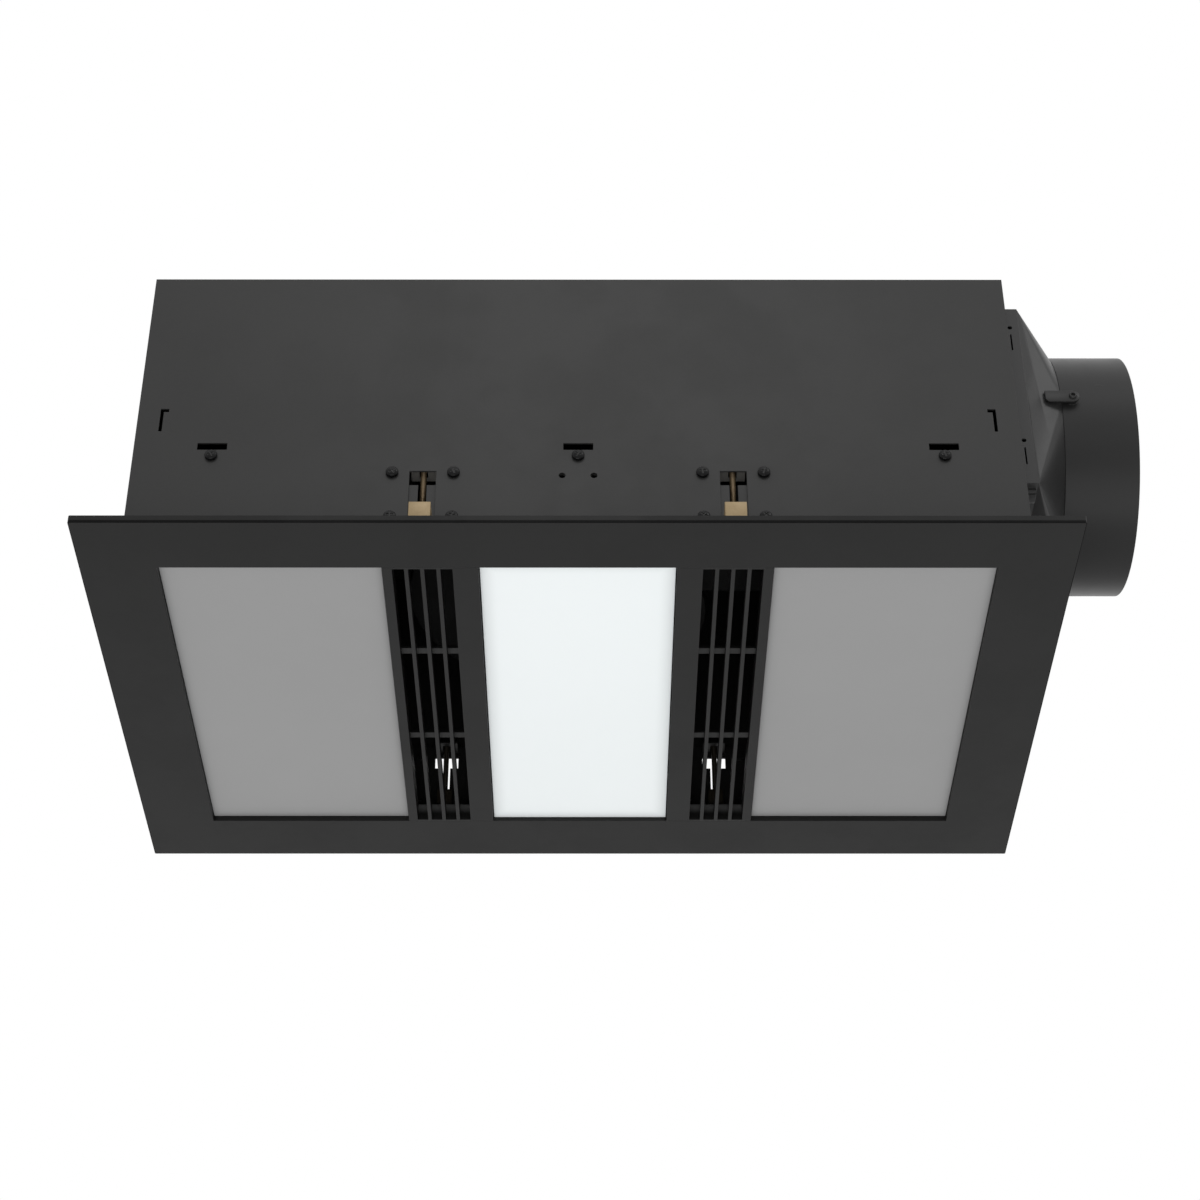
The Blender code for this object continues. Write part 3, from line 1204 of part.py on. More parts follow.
def pan_slots():
    """Pairs of small hooks' slots in the front and back sides of the hood's straight brim."""
    slots = []
    half = PAN_SLOT_WIDTH / 2
    for side in (-1, 1):
        wall = DUCT_Y + side * PLATE_HALF_Y
        near, far = sorted((wall - side * OVERRUN, wall + side * OVERRUN))
        for top in (PAN_SLOT_UPPER, PAN_SLOT_LOWER):
            slots.append(block((PAN_SLOT_X - half, near, top - PAN_SLOT_LENGTH),
                               (PAN_SLOT_X + half, far, top)))
            slots.append(wall_hole(PAN_SLOT_X, top + PAN_HOLE_RISE, near, far, PAN_HOLE_RADIUS))
    return slots


def pan_lugs():
    """Small feet under the hood's straight brim, near its two lower corners."""
    brim = DUCT_LEVEL - PLATE_HALF_Z
    top = brim + DUCT_SHEET / 2
    bottom = brim - PAN_LUG_HEIGHT
    outer = PLATE_HALF_Y - PAN_LUG_INSET
    lugs = []
    for side in (-1, 1):
        low_y, high_y = sorted((DUCT_Y + side * outer, DUCT_Y + side * (outer - PAN_LUG_LENGTH)))
        lugs.append(block((PAN_X, low_y, bottom), (HOOD_X - DUCT_SHEET, high_y, top)))
    return lugs


def duct_collar():
    """Round collar with the damper's two inner bosses and a screwed tab that laps the hood."""
    start = RIM_X + GAP
    bore = DUCT_RADIUS - DUCT_SHEET
    profile = [(DUCT_RADIUS, start), (DUCT_RADIUS, COLLAR_END_X), (bore, COLLAR_END_X), (bore, start)]
    collar = turned(profile, (0, DUCT_Y, DUCT_LEVEL), (1, 0, 0), DUCT_SIDES, True)
    edge = damper_edge()
    bosses, sockets = [], []
    for side in (-1, 1):
        inner = side * (edge - DAMPER_BOSS_LENGTH)
        bosses.append(across_duct(inner, side * (DUCT_RADIUS + OVERRUN), DAMPER_BOSS_RADIUS))
        seat = side * (edge - DAMPER_BOSS_FLOOR)
        sockets.append(across_duct(inner - side * OVERRUN, seat, SPINDLE_RADIUS + GAP))
    barrel = rod((start, DUCT_Y, DUCT_LEVEL), (COLLAR_END_X, DUCT_Y, DUCT_LEVEL),
                 bore + DUCT_SHEET / 2, DUCT_SIDES)
    join(collar, boolean(grouped(bosses), [barrel], "INTERSECT"))
    cut(collar, *sockets)
    join(collar, *collar_tab())
    return piece("duct_collar", collar, "dark_duct", smooth=True)


def damper_edge():
    """Distance from the duct's middle to its bore, at the damper's axis."""
    bore = DUCT_RADIUS - DUCT_SHEET
    return math.sqrt(bore * bore - DAMPER_AXIS_RISE * DAMPER_AXIS_RISE)


def across_duct(start, end, radius):
    """A cylinder along the damper's axis, between two distances from the duct's middle."""
    return rod((DAMPER_X, DUCT_Y + start, DAMPER_LEVEL), (DAMPER_X, DUCT_Y + end, DAMPER_LEVEL), radius)


def collar_tab():
    """Short tab on the collar's front side, on a boss, with a rounded end and a screw."""
    level = DUCT_LEVEL - COLLAR_TAB_DROP
    inner = DUCT_Y - DUCT_RADIUS - COLLAR_TAB_STAND
    outer = inner - COLLAR_TAB_SHEET
    half = COLLAR_TAB_HEIGHT / 2
    start = RIM_X - COLLAR_TAB_OVERHANG
    round_x = start + COLLAR_TAB_LENGTH - half
    tab = block((start, outer, level - half), (round_x, inner, level + half))
    nose = rod((round_x, inner, level), (round_x, outer, level), half, ROUND_SIDES)
    boss_end = inner + COLLAR_TAB_STAND + DUCT_SHEET / 2
    mid = inner - COLLAR_TAB_SHEET / 2
    boss = rod((round_x, boss_end, level), (round_x, mid, level), half - DUCT_SHEET)
    head_end = outer - COLLAR_TAB_SCREW_HEIGHT
    head = rod((round_x, mid, level), (round_x, head_end, level), COLLAR_TAB_SCREW_RADIUS)
    return tab, nose, boss, head


def damper():
    """Disc that hangs from a spindle above its centre, and the spindle."""
    half = DAMPER_SHEET / 2
    disc = rod((DAMPER_X - half, DUCT_Y, DUCT_LEVEL), (DAMPER_X + half, DUCT_Y, DUCT_LEVEL),
               DAMPER_RADIUS, DUCT_SIDES)
    edge = damper_edge()
    relief = DAMPER_BOSS_RADIUS + DAMPER_EDGE_GAP
    knuckle_end = edge - DAMPER_BOSS_LENGTH - DAMPER_EDGE_GAP
    reliefs = []
    for side in (-1, 1):
        near, far = sorted((DUCT_Y + side * knuckle_end, DUCT_Y + side * (DUCT_RADIUS + OVERRUN)))
        reliefs.append(block((DAMPER_X - OVERRUN, near, DAMPER_LEVEL - relief),
                             (DAMPER_X + OVERRUN, far, DAMPER_LEVEL + relief)))
    cut(disc, *reliefs)
    middle = KNUCKLE_LENGTH / 2
    inner = knuckle_end - KNUCKLE_LENGTH
    spans = ((-knuckle_end, -inner), (-middle, middle), (inner, knuckle_end))
    join(disc, *[across_duct(low, high, KNUCKLE_RADIUS) for low, high in spans])
    cut(disc, across_duct(-DUCT_RADIUS, DUCT_RADIUS, SPINDLE_RADIUS + GAP))
    reach = edge - DAMPER_BOSS_FLOOR - GAP
    spindle = across_duct(-reach, reach, SPINDLE_RADIUS)
    pivot = (DAMPER_X, DUCT_Y, DAMPER_LEVEL)
    return [
        set_origin(piece("damper_flap", disc, "galvanised"), pivot),
        set_origin(piece("damper_spindle", spindle, "spring_steel", smooth=True), pivot),
    ]


def gland_rod(start, end, radius, sides, end_radius=None):
    """A cylinder or cone along the cable gland's axis, between two places along the length."""
    level = TERMINAL_BOX_LEVEL - GLAND_DROP
    return rod((start, TERMINAL_BOX_Y, level), (end, TERMINAL_BOX_Y, level), radius, sides, end_radius)


def terminal_parts():
    """Terminal block in a sheet box on the -X wall, its cover, and the cable gland through the wall."""
    sheet = TERMINAL_BOX_SHEET
    back = -INNER_X + GAP
    front = back + TERMINAL_BOX_DEPTH
    low_y = TERMINAL_BOX_Y - TERMINAL_BOX_WIDTH / 2
    high_y = low_y + TERMINAL_BOX_WIDTH
    low_z = TERMINAL_BOX_LEVEL - TERMINAL_BOX_HEIGHT / 2
    high_z = low_z + TERMINAL_BOX_HEIGHT
    box = block((back, low_y, low_z), (front, high_y, high_z))
    cut(box, block((back + sheet, low_y + sheet, low_z + sheet),
                   (front + OVERRUN, high_y - sheet, high_z - sheet)))
    cut(box, gland_rod(back - OVERRUN, back + OVERRUN, GLAND_HOLE_RADIUS + GAP, ROUND_SIDES))
    cover_back = front + GAP
    cover_front = cover_back + sheet
    cover = block((cover_back, low_y, low_z), (cover_front, high_y, high_z))
    reach = TERMINAL_BOX_WIDTH / 2 - SCREW_HEAD_RADIUS - sheet - GAP
    screws = []
    for side in (-1, 1):
        seat = (cover_front - WELD, TERMINAL_BOX_Y + side * reach, TERMINAL_BOX_LEVEL)
        screws.append(pan_screw(seat, (-1, 0, 0), sheet + GAP))
    join(cover, *screws)
    return [
        piece("terminal_box", box, "galvanised"),
        piece("terminal_cover", cover, "galvanised"),
        piece("terminal_block", terminal_block(back + sheet + GAP), "white_plastic"),
        piece("cable_gland", cable_gland(back + sheet), "black_plastic", smooth=True),
    ]


def terminal_block(back):
    """Row of terminals: a moulded bar with a groove between each and a screw in each."""
    width = TERMINAL_BOX_WIDTH - 2 * TERMINAL_BLOCK_MARGIN
    front = back + TERMINAL_BLOCK_REACH
    low_y = TERMINAL_BOX_Y - width / 2
    low_z = TERMINAL_BOX_LEVEL + TERMINAL_GROOVE
    high_z = low_z + TERMINAL_BLOCK_HEIGHT
    middle_z = (low_z + high_z) / 2
    bar = block((back, low_y, low_z), (front, low_y + width, high_z))
    pitch = width / TERMINAL_COUNT
    half = TERMINAL_GROOVE / 2
    floor = front - 2 * TERMINAL_GROOVE
    past = front + OVERRUN
    grooves, wells = [], []
    for step in range(TERMINAL_COUNT):
        edge = low_y + step * pitch
        if step:
            grooves.append(block((floor, edge - half, low_z - OVERRUN),
                                 (past, edge + half, high_z + OVERRUN)))
        centre = edge + pitch / 2
        wells.append(rod((floor, centre, middle_z), (past, centre, middle_z),
                         TERMINAL_SCREW_RADIUS, HOLE_SIDES))
    return cut(bar, grouped(grooves), grouped(wells))


def cable_gland(inner_face):
    """Gland with a hexagon and dome outside, a threaded neck through the wall and a nut inside the box."""
    outer_face = -HALF_LENGTH - GAP
    hex_end = outer_face - GLAND_HEX_HEIGHT
    hex_middle = outer_face - GLAND_HEX_HEIGHT / 2
    nose = hex_end - GLAND_DOME_HEIGHT
    nut_start = inner_face + GAP
    nut_end = nut_start + GLAND_NUT_HEIGHT
    body = gland_rod(outer_face, hex_end, GLAND_HEX_RADIUS, HEX_SIDES)
    dome = gland_rod(hex_middle, nose, GLAND_DOME_RADIUS, ROUND_SIDES, GLAND_NOSE_SHARE * GLAND_DOME_RADIUS)
    neck = gland_rod(hex_middle, nut_end + GAP, GLAND_HOLE_RADIUS, ROUND_SIDES)
    nut = gland_rod(nut_start, nut_end, GLAND_DOME_RADIUS, HEX_SIDES)
    join(body, dome, neck, nut)
    return cut(body, gland_rod(nose - OVERRUN, nut_end + OVERRUN, GLAND_BORE_RADIUS, SMALL_SIDES))


def run_capacitor():
    """Motor capacitor that hangs from the housing's roof on its flange."""
    top = HOUSING_HEIGHT - HOUSING_SHEET - GAP
    base_bottom = top - CAPACITOR_BASE_HEIGHT
    base = rod((CAPACITOR_X, CAPACITOR_Y, base_bottom), (CAPACITOR_X, CAPACITOR_Y, top),
               CAPACITOR_BASE_RADIUS, ROUND_SIDES)
    body = rod((CAPACITOR_X, CAPACITOR_Y, top - CAPACITOR_HEIGHT), (CAPACITOR_X, CAPACITOR_Y, top - WELD),
               CAPACITOR_RADIUS, ROUND_SIDES)
    return piece("run_capacitor", join(base, body), "white_plastic", smooth=True)


def build():
    """Model every piece of the heater."""
    clear_scene()
    housing_shell()
    fascia_frame()
    fascia_rim()
    grille(-1, "grille_left")
    grille(1, "grille_right")
    fascia_clips()
    for end, word in ((-1, "left"), (1, "right")):
        heater_panel(end, word)
        strap("heater_strap_" + word, end * STRAP_OFFSET, REFLECTOR_TOP + GAP)
    light_panel()
    strap("light_strap", 0, TRAY_TOP + GAP)
    clamps()
    fan_scroll()
    scroll_lid()
    inlet_ring()
    impeller()
    motor()
    motor_shaft()
    duct_plate()
    duct_hood()
    duct_collar()
    damper()
    terminal_parts()
    run_capacitor()


build()
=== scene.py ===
"""Bathroom ceiling heater, dressed over the packed model for a product view from below.

Metres, +Z up, in the packed model's frame: the ceiling's lower face is z = 0, the fascia faces down, the
duct leaves along +X and -Y is the front. The packed nodes get their finishes here and keep their shapes.
The clamps, duct hood, collar and cable gland are modelled again in full detail over their solids. The
screw heads on the long walls and the two bands of painted shade round the fascia's lip lie over solids
that stay.
"""

from __future__ import annotations

import logging
import math
from collections.abc import Iterable, Sequence
from dataclasses import dataclass, replace
from enum import Enum

import bmesh
import bpy
from mathutils import Matrix, Vector


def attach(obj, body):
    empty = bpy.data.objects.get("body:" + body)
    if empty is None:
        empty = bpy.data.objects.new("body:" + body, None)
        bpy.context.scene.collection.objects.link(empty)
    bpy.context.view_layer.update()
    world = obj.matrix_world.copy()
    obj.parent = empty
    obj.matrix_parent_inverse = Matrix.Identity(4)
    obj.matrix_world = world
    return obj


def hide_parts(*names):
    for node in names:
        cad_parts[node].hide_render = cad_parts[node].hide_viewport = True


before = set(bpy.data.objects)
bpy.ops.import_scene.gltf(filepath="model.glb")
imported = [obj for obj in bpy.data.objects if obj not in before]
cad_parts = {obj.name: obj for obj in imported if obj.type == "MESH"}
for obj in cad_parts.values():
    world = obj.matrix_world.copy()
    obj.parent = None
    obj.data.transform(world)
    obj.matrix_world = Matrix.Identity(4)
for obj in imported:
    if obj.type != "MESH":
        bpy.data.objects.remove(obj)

LOG = logging.getLogger("ceiling_heater")
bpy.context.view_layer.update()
MM = 0.001
MERGE = 0.001 * MM
HALF_WIDTH = 155.25 * MM
QUARTER_TURN = math.pi / 2
SIDES = (-1, 1)

Colour = tuple[float, float, float]
Span = tuple[float, float]
Profile = list[tuple[float, float]]
Shape = bmesh.types.BMesh
Node = bpy.types.Node
Tree = bpy.types.NodeTree
Socket = bpy.types.NodeSocket
Feed = Socket | float | Sequence[float]
Point = Sequence[float]
Sockets = dict[str, Socket]


class Body(Enum):
    """Bodies of the packed model that new pieces ride on, beside the clamps' own."""

    HOUSING = "housing"
    FASCIA = "fascia"


class Effect(Enum):
    """Shader groups that several finishes share. Each value is the method of Effects that wires it."""

    EDGES = "edge_wear"
    PATCHES = "patches"
    DUST = "settled_dust"
    PEEL = "peel"
    MOULD = "mould"
    ROLLED = "rolled"
    SPANGLE = "spangle"
    CLAY = "clay"


class Graph:
    """Adds nodes to one shader tree and joins them."""

    def __init__(self, tree: Tree) -> None:
        """Keep the tree of a material or group."""
        self.tree = tree

    def add(self, kind: str, feeds: dict[str | int, Feed] | None = None, **settings: object) -> Node:
        """Add a node and fill its inputs.

        Args:
            kind: Node type without its ShaderNode prefix.
            feeds: Values or output sockets, by input name or number.
            settings: Properties of the node, set first.

        Returns:
            The new node.
        """
        node = self.tree.nodes.new("ShaderNode" + kind)
        for name, value in settings.items():
            setattr(node, name, value)
        for key, value in (feeds or {}).items():
            if isinstance(value, Socket):
                self.tree.links.new(value, node.inputs[key])
            else:
                node.inputs[key].default_value = value
        return node

    def maths(self, operation: str, first: Feed, second: Feed = 0.0) -> Socket:
        """Result of a Math node's operation on two values."""
        return self.add("Math", {0: first, 1: second}, operation=operation).outputs[0]

    def times(self, first: Feed, second: Feed) -> Socket:
        """Product of two values."""
        return self.maths("MULTIPLY", first, second)

    def remap(self, value: Feed, low: float, high: float, to_low: float = 0.0,
              to_high: float = 1.0) -> Socket:
        """Value mapped smoothly from one range onto another, and held at the ends."""
        feeds = {0: value, 1: low, 2: high, 3: to_low, 4: to_high}
        return self.add("MapRange", feeds, interpolation_type="SMOOTHSTEP").outputs[0]

    def mix(self, share: Feed, first: Feed, second: Feed) -> Socket:
        """Blend of two colours by the share of the second."""
        return self.add("Mix", {0: share, 6: first, 7: second}, data_type="RGBA").outputs[2]

    def noise(self, scale: Feed, detail: float = 2.0, vector: Socket | None = None) -> Socket:
        """Noise from 0 to 1, over the piece's own coordinates where none are given."""
        place = vector or self.coordinates()
        return self.add("TexNoise", {"Vector": place, "Scale": scale, "Detail": detail}).outputs[0]

    def coordinates(self) -> Socket:
        """The piece's own coordinates."""
        return self.add("TexCoord").outputs["Object"]

    def normal(self) -> Socket:
        """The surface's plain normal."""
        return self.add("NewGeometry").outputs["Normal"]

    def parts(self, vector: Socket) -> Sequence[Socket]:
        """The three numbers of a vector."""
        return self.add("SeparateXYZ", {0: vector}).outputs

    def within(self, value: Feed, half: float, middle: float = 0.0) -> Socket:
        """Distance of a value inside the ends of a span about a middle."""
        away = self.maths("ABSOLUTE", self.maths("SUBTRACT", value, middle))
        return self.maths("SUBTRACT", half, away)

    def use(self, effect: Effect, value: float) -> Sequence[Socket]:
        """Outputs of a shared group that works from one value."""
        return self.add("Group", {0: value}, node_tree=shared_group(effect)).outputs


class Effects(Graph):
    """Inside of a shared group. Each method wires one effect from the group's only input."""

    SMEARS = 0.25
    NIBS = 0.5
    FEATHERS = 0.3
    STRETCH = (0.03, 1.0, 1.0)
    BEND = 0.006

    def __init__(self, tree: Tree, given: Socket) -> None:
        """Keep the group's tree and its input."""
        super().__init__(tree)
        self.given = given

    def finer(self, factor: float, detail: float) -> Socket:
        """Noise at a multiple of the given scale."""
        return self.noise(self.times(self.given, factor), detail)

    def edge_wear(self) -> Sockets:
        """Wear along sharp edges, within the given radius.

        Returns:
            A broken mask of the edges and the rounded normal.
        """
        rounded = self.add("Bevel", {"Radius": self.given}, samples=6).outputs[0]
        facing = self.add("VectorMath", {0: rounded, 1: self.normal()}, operation="DOT_PRODUCT")
        edge = self.remap(facing.outputs["Value"], low=0.99, high=0.78)
        broken = self.remap(self.noise(scale=240.0, detail=4.0), low=0.38, high=0.62, to_low=0.25)
        return {"Edge": self.times(edge, broken), "Normal": rounded}

    def patches(self) -> Sockets:
        """Broad uneven patches with fine smears, for handling marks and uneven gloss.

        Returns:
            Their mask.
        """
        broad = self.remap(self.noise(self.given, detail=3.0), low=0.32, high=0.68)
        smear = self.remap(self.finer(factor=9.0, detail=5.0), low=0.40, high=0.72)
        broad, smear = self.times(broad, 1.0 - self.SMEARS), self.times(smear, self.SMEARS)
        return {"Patch": self.maths("ADD", broad, smear)}

    def settled_dust(self) -> Sockets:
        """Thin uneven dust on faces that look up.

        Returns:
            Its mask, up to the given amount.
        """
        upward = self.remap(self.parts(self.normal())[2], low=0.55, high=0.98)
        cloud = self.remap(self.noise(scale=22.0, detail=6.0), low=0.35, high=0.75, to_low=0.15)
        speck = self.remap(self.noise(scale=900.0), low=0.45, high=0.75, to_low=0.6)
        dust = self.times(self.times(upward, cloud), speck)
        return {"Dust": self.times(dust, self.given)}

    def peel(self) -> Sockets:
        """Soft lumps of a baked powder coat, with a few fine nibs.

        Returns:
            Height and tone.
        """
        soft = self.noise(self.given, detail=1.0)
        nibs = self.remap(self.finer(factor=2.3, detail=0.0), low=0.66, high=0.80)
        return {"Height": self.maths("ADD", soft, self.times(nibs, self.NIBS)), "Tone": soft}

    def mould(self) -> Sockets:
        """Dense pits of a spark-eroded mould.

        Returns:
            Height and tone.
        """
        feeds = {"Vector": self.coordinates(), "Scale": self.given, "Randomness": 1.0}
        cell = self.add("TexVoronoi", feeds, feature="SMOOTH_F1").outputs["Distance"]
        rough = self.finer(factor=0.6, detail=3.0)
        return {"Height": self.maths("ADD", cell, rough), "Tone": rough}

    def rolled(self) -> Sockets:
        """Long thin lines left by rollers or a draw die.

        Returns:
            Height and tone.
        """
        stretch = self.add("VectorMath", {0: self.coordinates(), 1: self.STRETCH}, operation="MULTIPLY")
        lines = self.noise(self.given, 5.0, stretch.outputs[0])
        return {"Height": lines, "Tone": self.remap(lines, low=0.35, high=0.65)}

    def spangle(self) -> Sockets:
        """Feathered zinc crystals, each with its own tone.

        Returns:
            Height and tone.
        """
        place = self.coordinates()
        bent = self.add("TexNoise", {"Vector": place, "Scale": self.given, "Detail": 2.0}).outputs[1]
        shift = self.add("VectorMath", {0: bent, "Scale": self.BEND}, operation="SCALE").outputs[0]
        moved = self.add("VectorMath", {0: place, 1: shift}, operation="ADD").outputs[0]
        cells = self.add("TexVoronoi", {"Vector": moved, "Scale": self.given}).outputs["Color"]
        crystal = self.times(self.add("SeparateColor", {0: cells}).outputs[0], 1.0 - self.FEATHERS)
        feather = self.finer(factor=8.0, detail=3.0)
        return {"Height": feather, "Tone": self.maths("ADD", crystal, self.times(feather, self.FEATHERS))}

    def clay(self) -> Sockets:
        """Height and tone of pressed clay with fine pores."""
        body, pores = self.noise(self.given, detail=4.0), self.finer(factor=5.0, detail=0.0)
        return {"Height": self.times(body, self.remap(pores, low=0.20, high=0.34)), "Tone": body}


def shared_group(effect: Effect) -> Tree:
    """Find the shader group of an effect, or build it.

    Args:
        effect: The effect.

    Returns:
        The group's tree.
    """
    found = bpy.data.node_groups.get(effect.value)
    if found:
        return found
    tree = bpy.data.node_groups.new(effect.value, "ShaderNodeTree")
    tree.interface.new_socket(name="Value", in_out="INPUT", socket_type="NodeSocketFloat")
    inside = Effects(tree, tree.nodes.new("NodeGroupInput").outputs[0])
    made = getattr(inside, effect.value)()
    for label, socket in made.items():
        kind = "NodeSocketVector" if socket.type == "VECTOR" else "NodeSocketFloat"
        tree.interface.new_socket(name=label, in_out="OUTPUT", socket_type=kind)
    sink = tree.nodes.new("NodeGroupOutput")
    for label, socket in made.items():
        tree.links.new(socket, sink.inputs[label])
    return tree


@dataclass(frozen=True)
class Zone:
    """Faces coloured lighter or darker as painted light or shade, picked by the way that they face and by
    their place.
    """

    FRONT = ("LESS_THAN", 1, 0.0)
    RAISED = ("GREATER_THAN", 2, 0.0)

    colour: Colour
    axis: int = 2
    turned: float = -0.8
    limits: tuple[tuple[str, int, float], ...] = ()
    beside: Span | None = None
    fade: Span | None = None

    def mask(self, graph: Graph) -> Socket:
        """Mask the faces that are turned against an axis, within limits and in a band on either side.

        Args:
            graph: The material's tree.

        Returns:
            The mask, from 0 to 1.
        """
        place = graph.parts(graph.coordinates())
        mask = graph.maths("LESS_THAN", graph.parts(graph.normal())[self.axis], self.turned)
        for test, axis, level in self.limits:
            mask = graph.times(mask, graph.maths(test, place[axis], level))
        if self.beside:
            middle, half = self.beside
            inside = graph.within(graph.maths("ABSOLUTE", place[0]), half, middle)
            mask = graph.times(mask, graph.maths("GREATER_THAN", inside, 0.0))
        if self.fade:
            mask = graph.times(mask, graph.remap(place[2], *self.fade))
        return mask


@dataclass(frozen=True)
class ShadedRim(Zone):
    """Painted shade along the soft rim of a flat pane, or of a pair of them on either side of the middle."""

    middle: float = 0.0
    half_x: float = 64.0 * MM
    half_y: float = 139.2 * MM
    falloff: float = 8.0 * MM

    def mask(self, graph: Graph) -> Socket:
        """Mask the pane's rim, where the painted shade lies.

        Args:
            graph: The material's tree.

        Returns:
            The mask, falling off softly from 1 at the edge.
        """
        place = graph.parts(graph.coordinates())
        from_side = graph.within(graph.maths("ABSOLUTE", place[0]), self.half_x, self.middle)
        from_end = graph.within(place[1], self.half_y)
        return graph.remap(graph.maths("MINIMUM", from_side, from_end), 0.0, self.falloff, 1.0, 0.0)


@dataclass(frozen=True)
class Finish:
    """A finish with uneven gloss, fine relief, worn edges, settled dust and zones of painted light or shade.
    """

    name: str
    slot: str
    colour: Colour
    roughness: float
    surface: Effect
    grain: float
    height: float
    metallic: float = 0.0
    specular: float = 0.5
    tone_share: float = 0.10
    patch_scale: float = 14.0
    patch_share: float = 0.12
    patch_tone: float = 2.2
    gloss_share: float = 0.12
    edge_radius: float = 0.5 * MM
    edge_share: float = 0.25
    edge_colour: Colour = (0.16, 0.16, 0.16)
    dust: float = 0.0
    dust_colour: Colour = (0.42, 0.40, 0.37)
    dust_rough: float = 0.5
    nodes: tuple[str, ...] = ()
    zones: tuple[Zone, ...] = ()

    def material(self) -> bpy.types.Material:
        """Find the finish's material, or make it.

        Returns:
            The material.
        """
        found = bpy.data.materials.get(self.name)
        if found:
            return found
        made = bpy.data.materials.new(self.name)
        made.use_nodes = True
        made.diffuse_color = self.shade()
        shader = made.node_tree.nodes["Principled BSDF"]
        values = {"Base Color": self.shade(), "Metallic": self.metallic, "Roughness": self.roughness,
                  "Specular IOR Level": self.specular}
        for name, value in values.items():
            shader.inputs[name].default_value = value
        self.dress(Graph(made.node_tree), shader)
        return made

    def shade(self, factor: float = 1.0) -> tuple[float, float, float, float]:
        """The finish's colour times a factor."""
        return (*(min(1.0, part * factor) for part in self.colour), 1.0)

    def dress(self, graph: Graph, shader: Node) -> None:
        """Lay the finish's pattern on its shader.

        Args:
            graph: The material's tree.
            shader: Its Principled shader.
        """
        relief = graph.use(self.surface, self.grain)
        edge = graph.use(Effect.EDGES, self.edge_radius)
        patch = graph.use(Effect.PATCHES, self.patch_scale)["Patch"]
        colour = self.base(graph, relief["Tone"], patch)
        colour = graph.mix(graph.times(edge["Edge"], self.edge_share), colour, (*self.edge_colour, 1.0))
        half = self.gloss_share / 2
        rough = graph.remap(patch, 0.0, 1.0, self.roughness - half, self.roughness + half)
        if self.dust:
            dust = graph.use(Effect.DUST, self.dust)["Dust"]
            colour = graph.mix(dust, colour, (*self.dust_colour, 1.0))
            rough = graph.maths("ADD", rough, graph.times(dust, self.dust_rough))
        graph.tree.links.new(colour, shader.inputs["Base Color"])
        graph.tree.links.new(rough, shader.inputs["Roughness"])
        self.emboss(graph, shader, {"Height": relief["Height"], "Normal": edge["Normal"]})

    def emboss(self, graph: Graph, shader: Node, feeds: dict[str, Feed]) -> None:
        """Bump the shader's normals by the finish's height."""
        bump = graph.add("Bump", {"Strength": 1.0, "Distance": self.height, **feeds})
        graph.tree.links.new(bump.outputs[0], shader.inputs["Normal"])

    def base(self, graph: Graph, tone: Socket, patch: Socket) -> Socket:
        """Work out the colour, with any zones of painted light or shade, before wear and dust.

        Args:
            graph: The material's tree.
            tone: Fine tone of the relief, from 0 to 1.
            patch: Broad patches, from 0 to 1.

        Returns:
            The colour's socket.
        """
        fine = graph.mix(tone, self.shade(1.0 - self.tone_share), self.shade(1.0 + self.tone_share))
        colour = graph.mix(graph.times(patch, self.patch_share), fine, self.shade(self.patch_tone))
        # Each zone lays painted light or shade over the colour.
        for zone in self.zones:
            colour = graph.mix(zone.mask(graph), colour, (*zone.colour, 1.0))
        return colour


@dataclass(frozen=True)
class ClearTube(Finish):
    """Clear quartz with faint drawn lines."""

    clearness: float = 0.9

    def dress(self, graph: Graph, shader: Node) -> None:
        """Make the shader clear and bend its normals a little.

        Args:
            graph: The material's tree.
            shader: Its Principled shader.
        """
        shader.inputs["Transmission Weight"].default_value = self.clearness
        relief = graph.use(self.surface, self.grain)
        haze = graph.remap(relief["Tone"], 0.0, 1.0, self.roughness, self.roughness + self.gloss_share)
        graph.tree.links.new(haze, shader.inputs["Roughness"])
        self.emboss(graph, shader, {"Height": relief["Height"]})


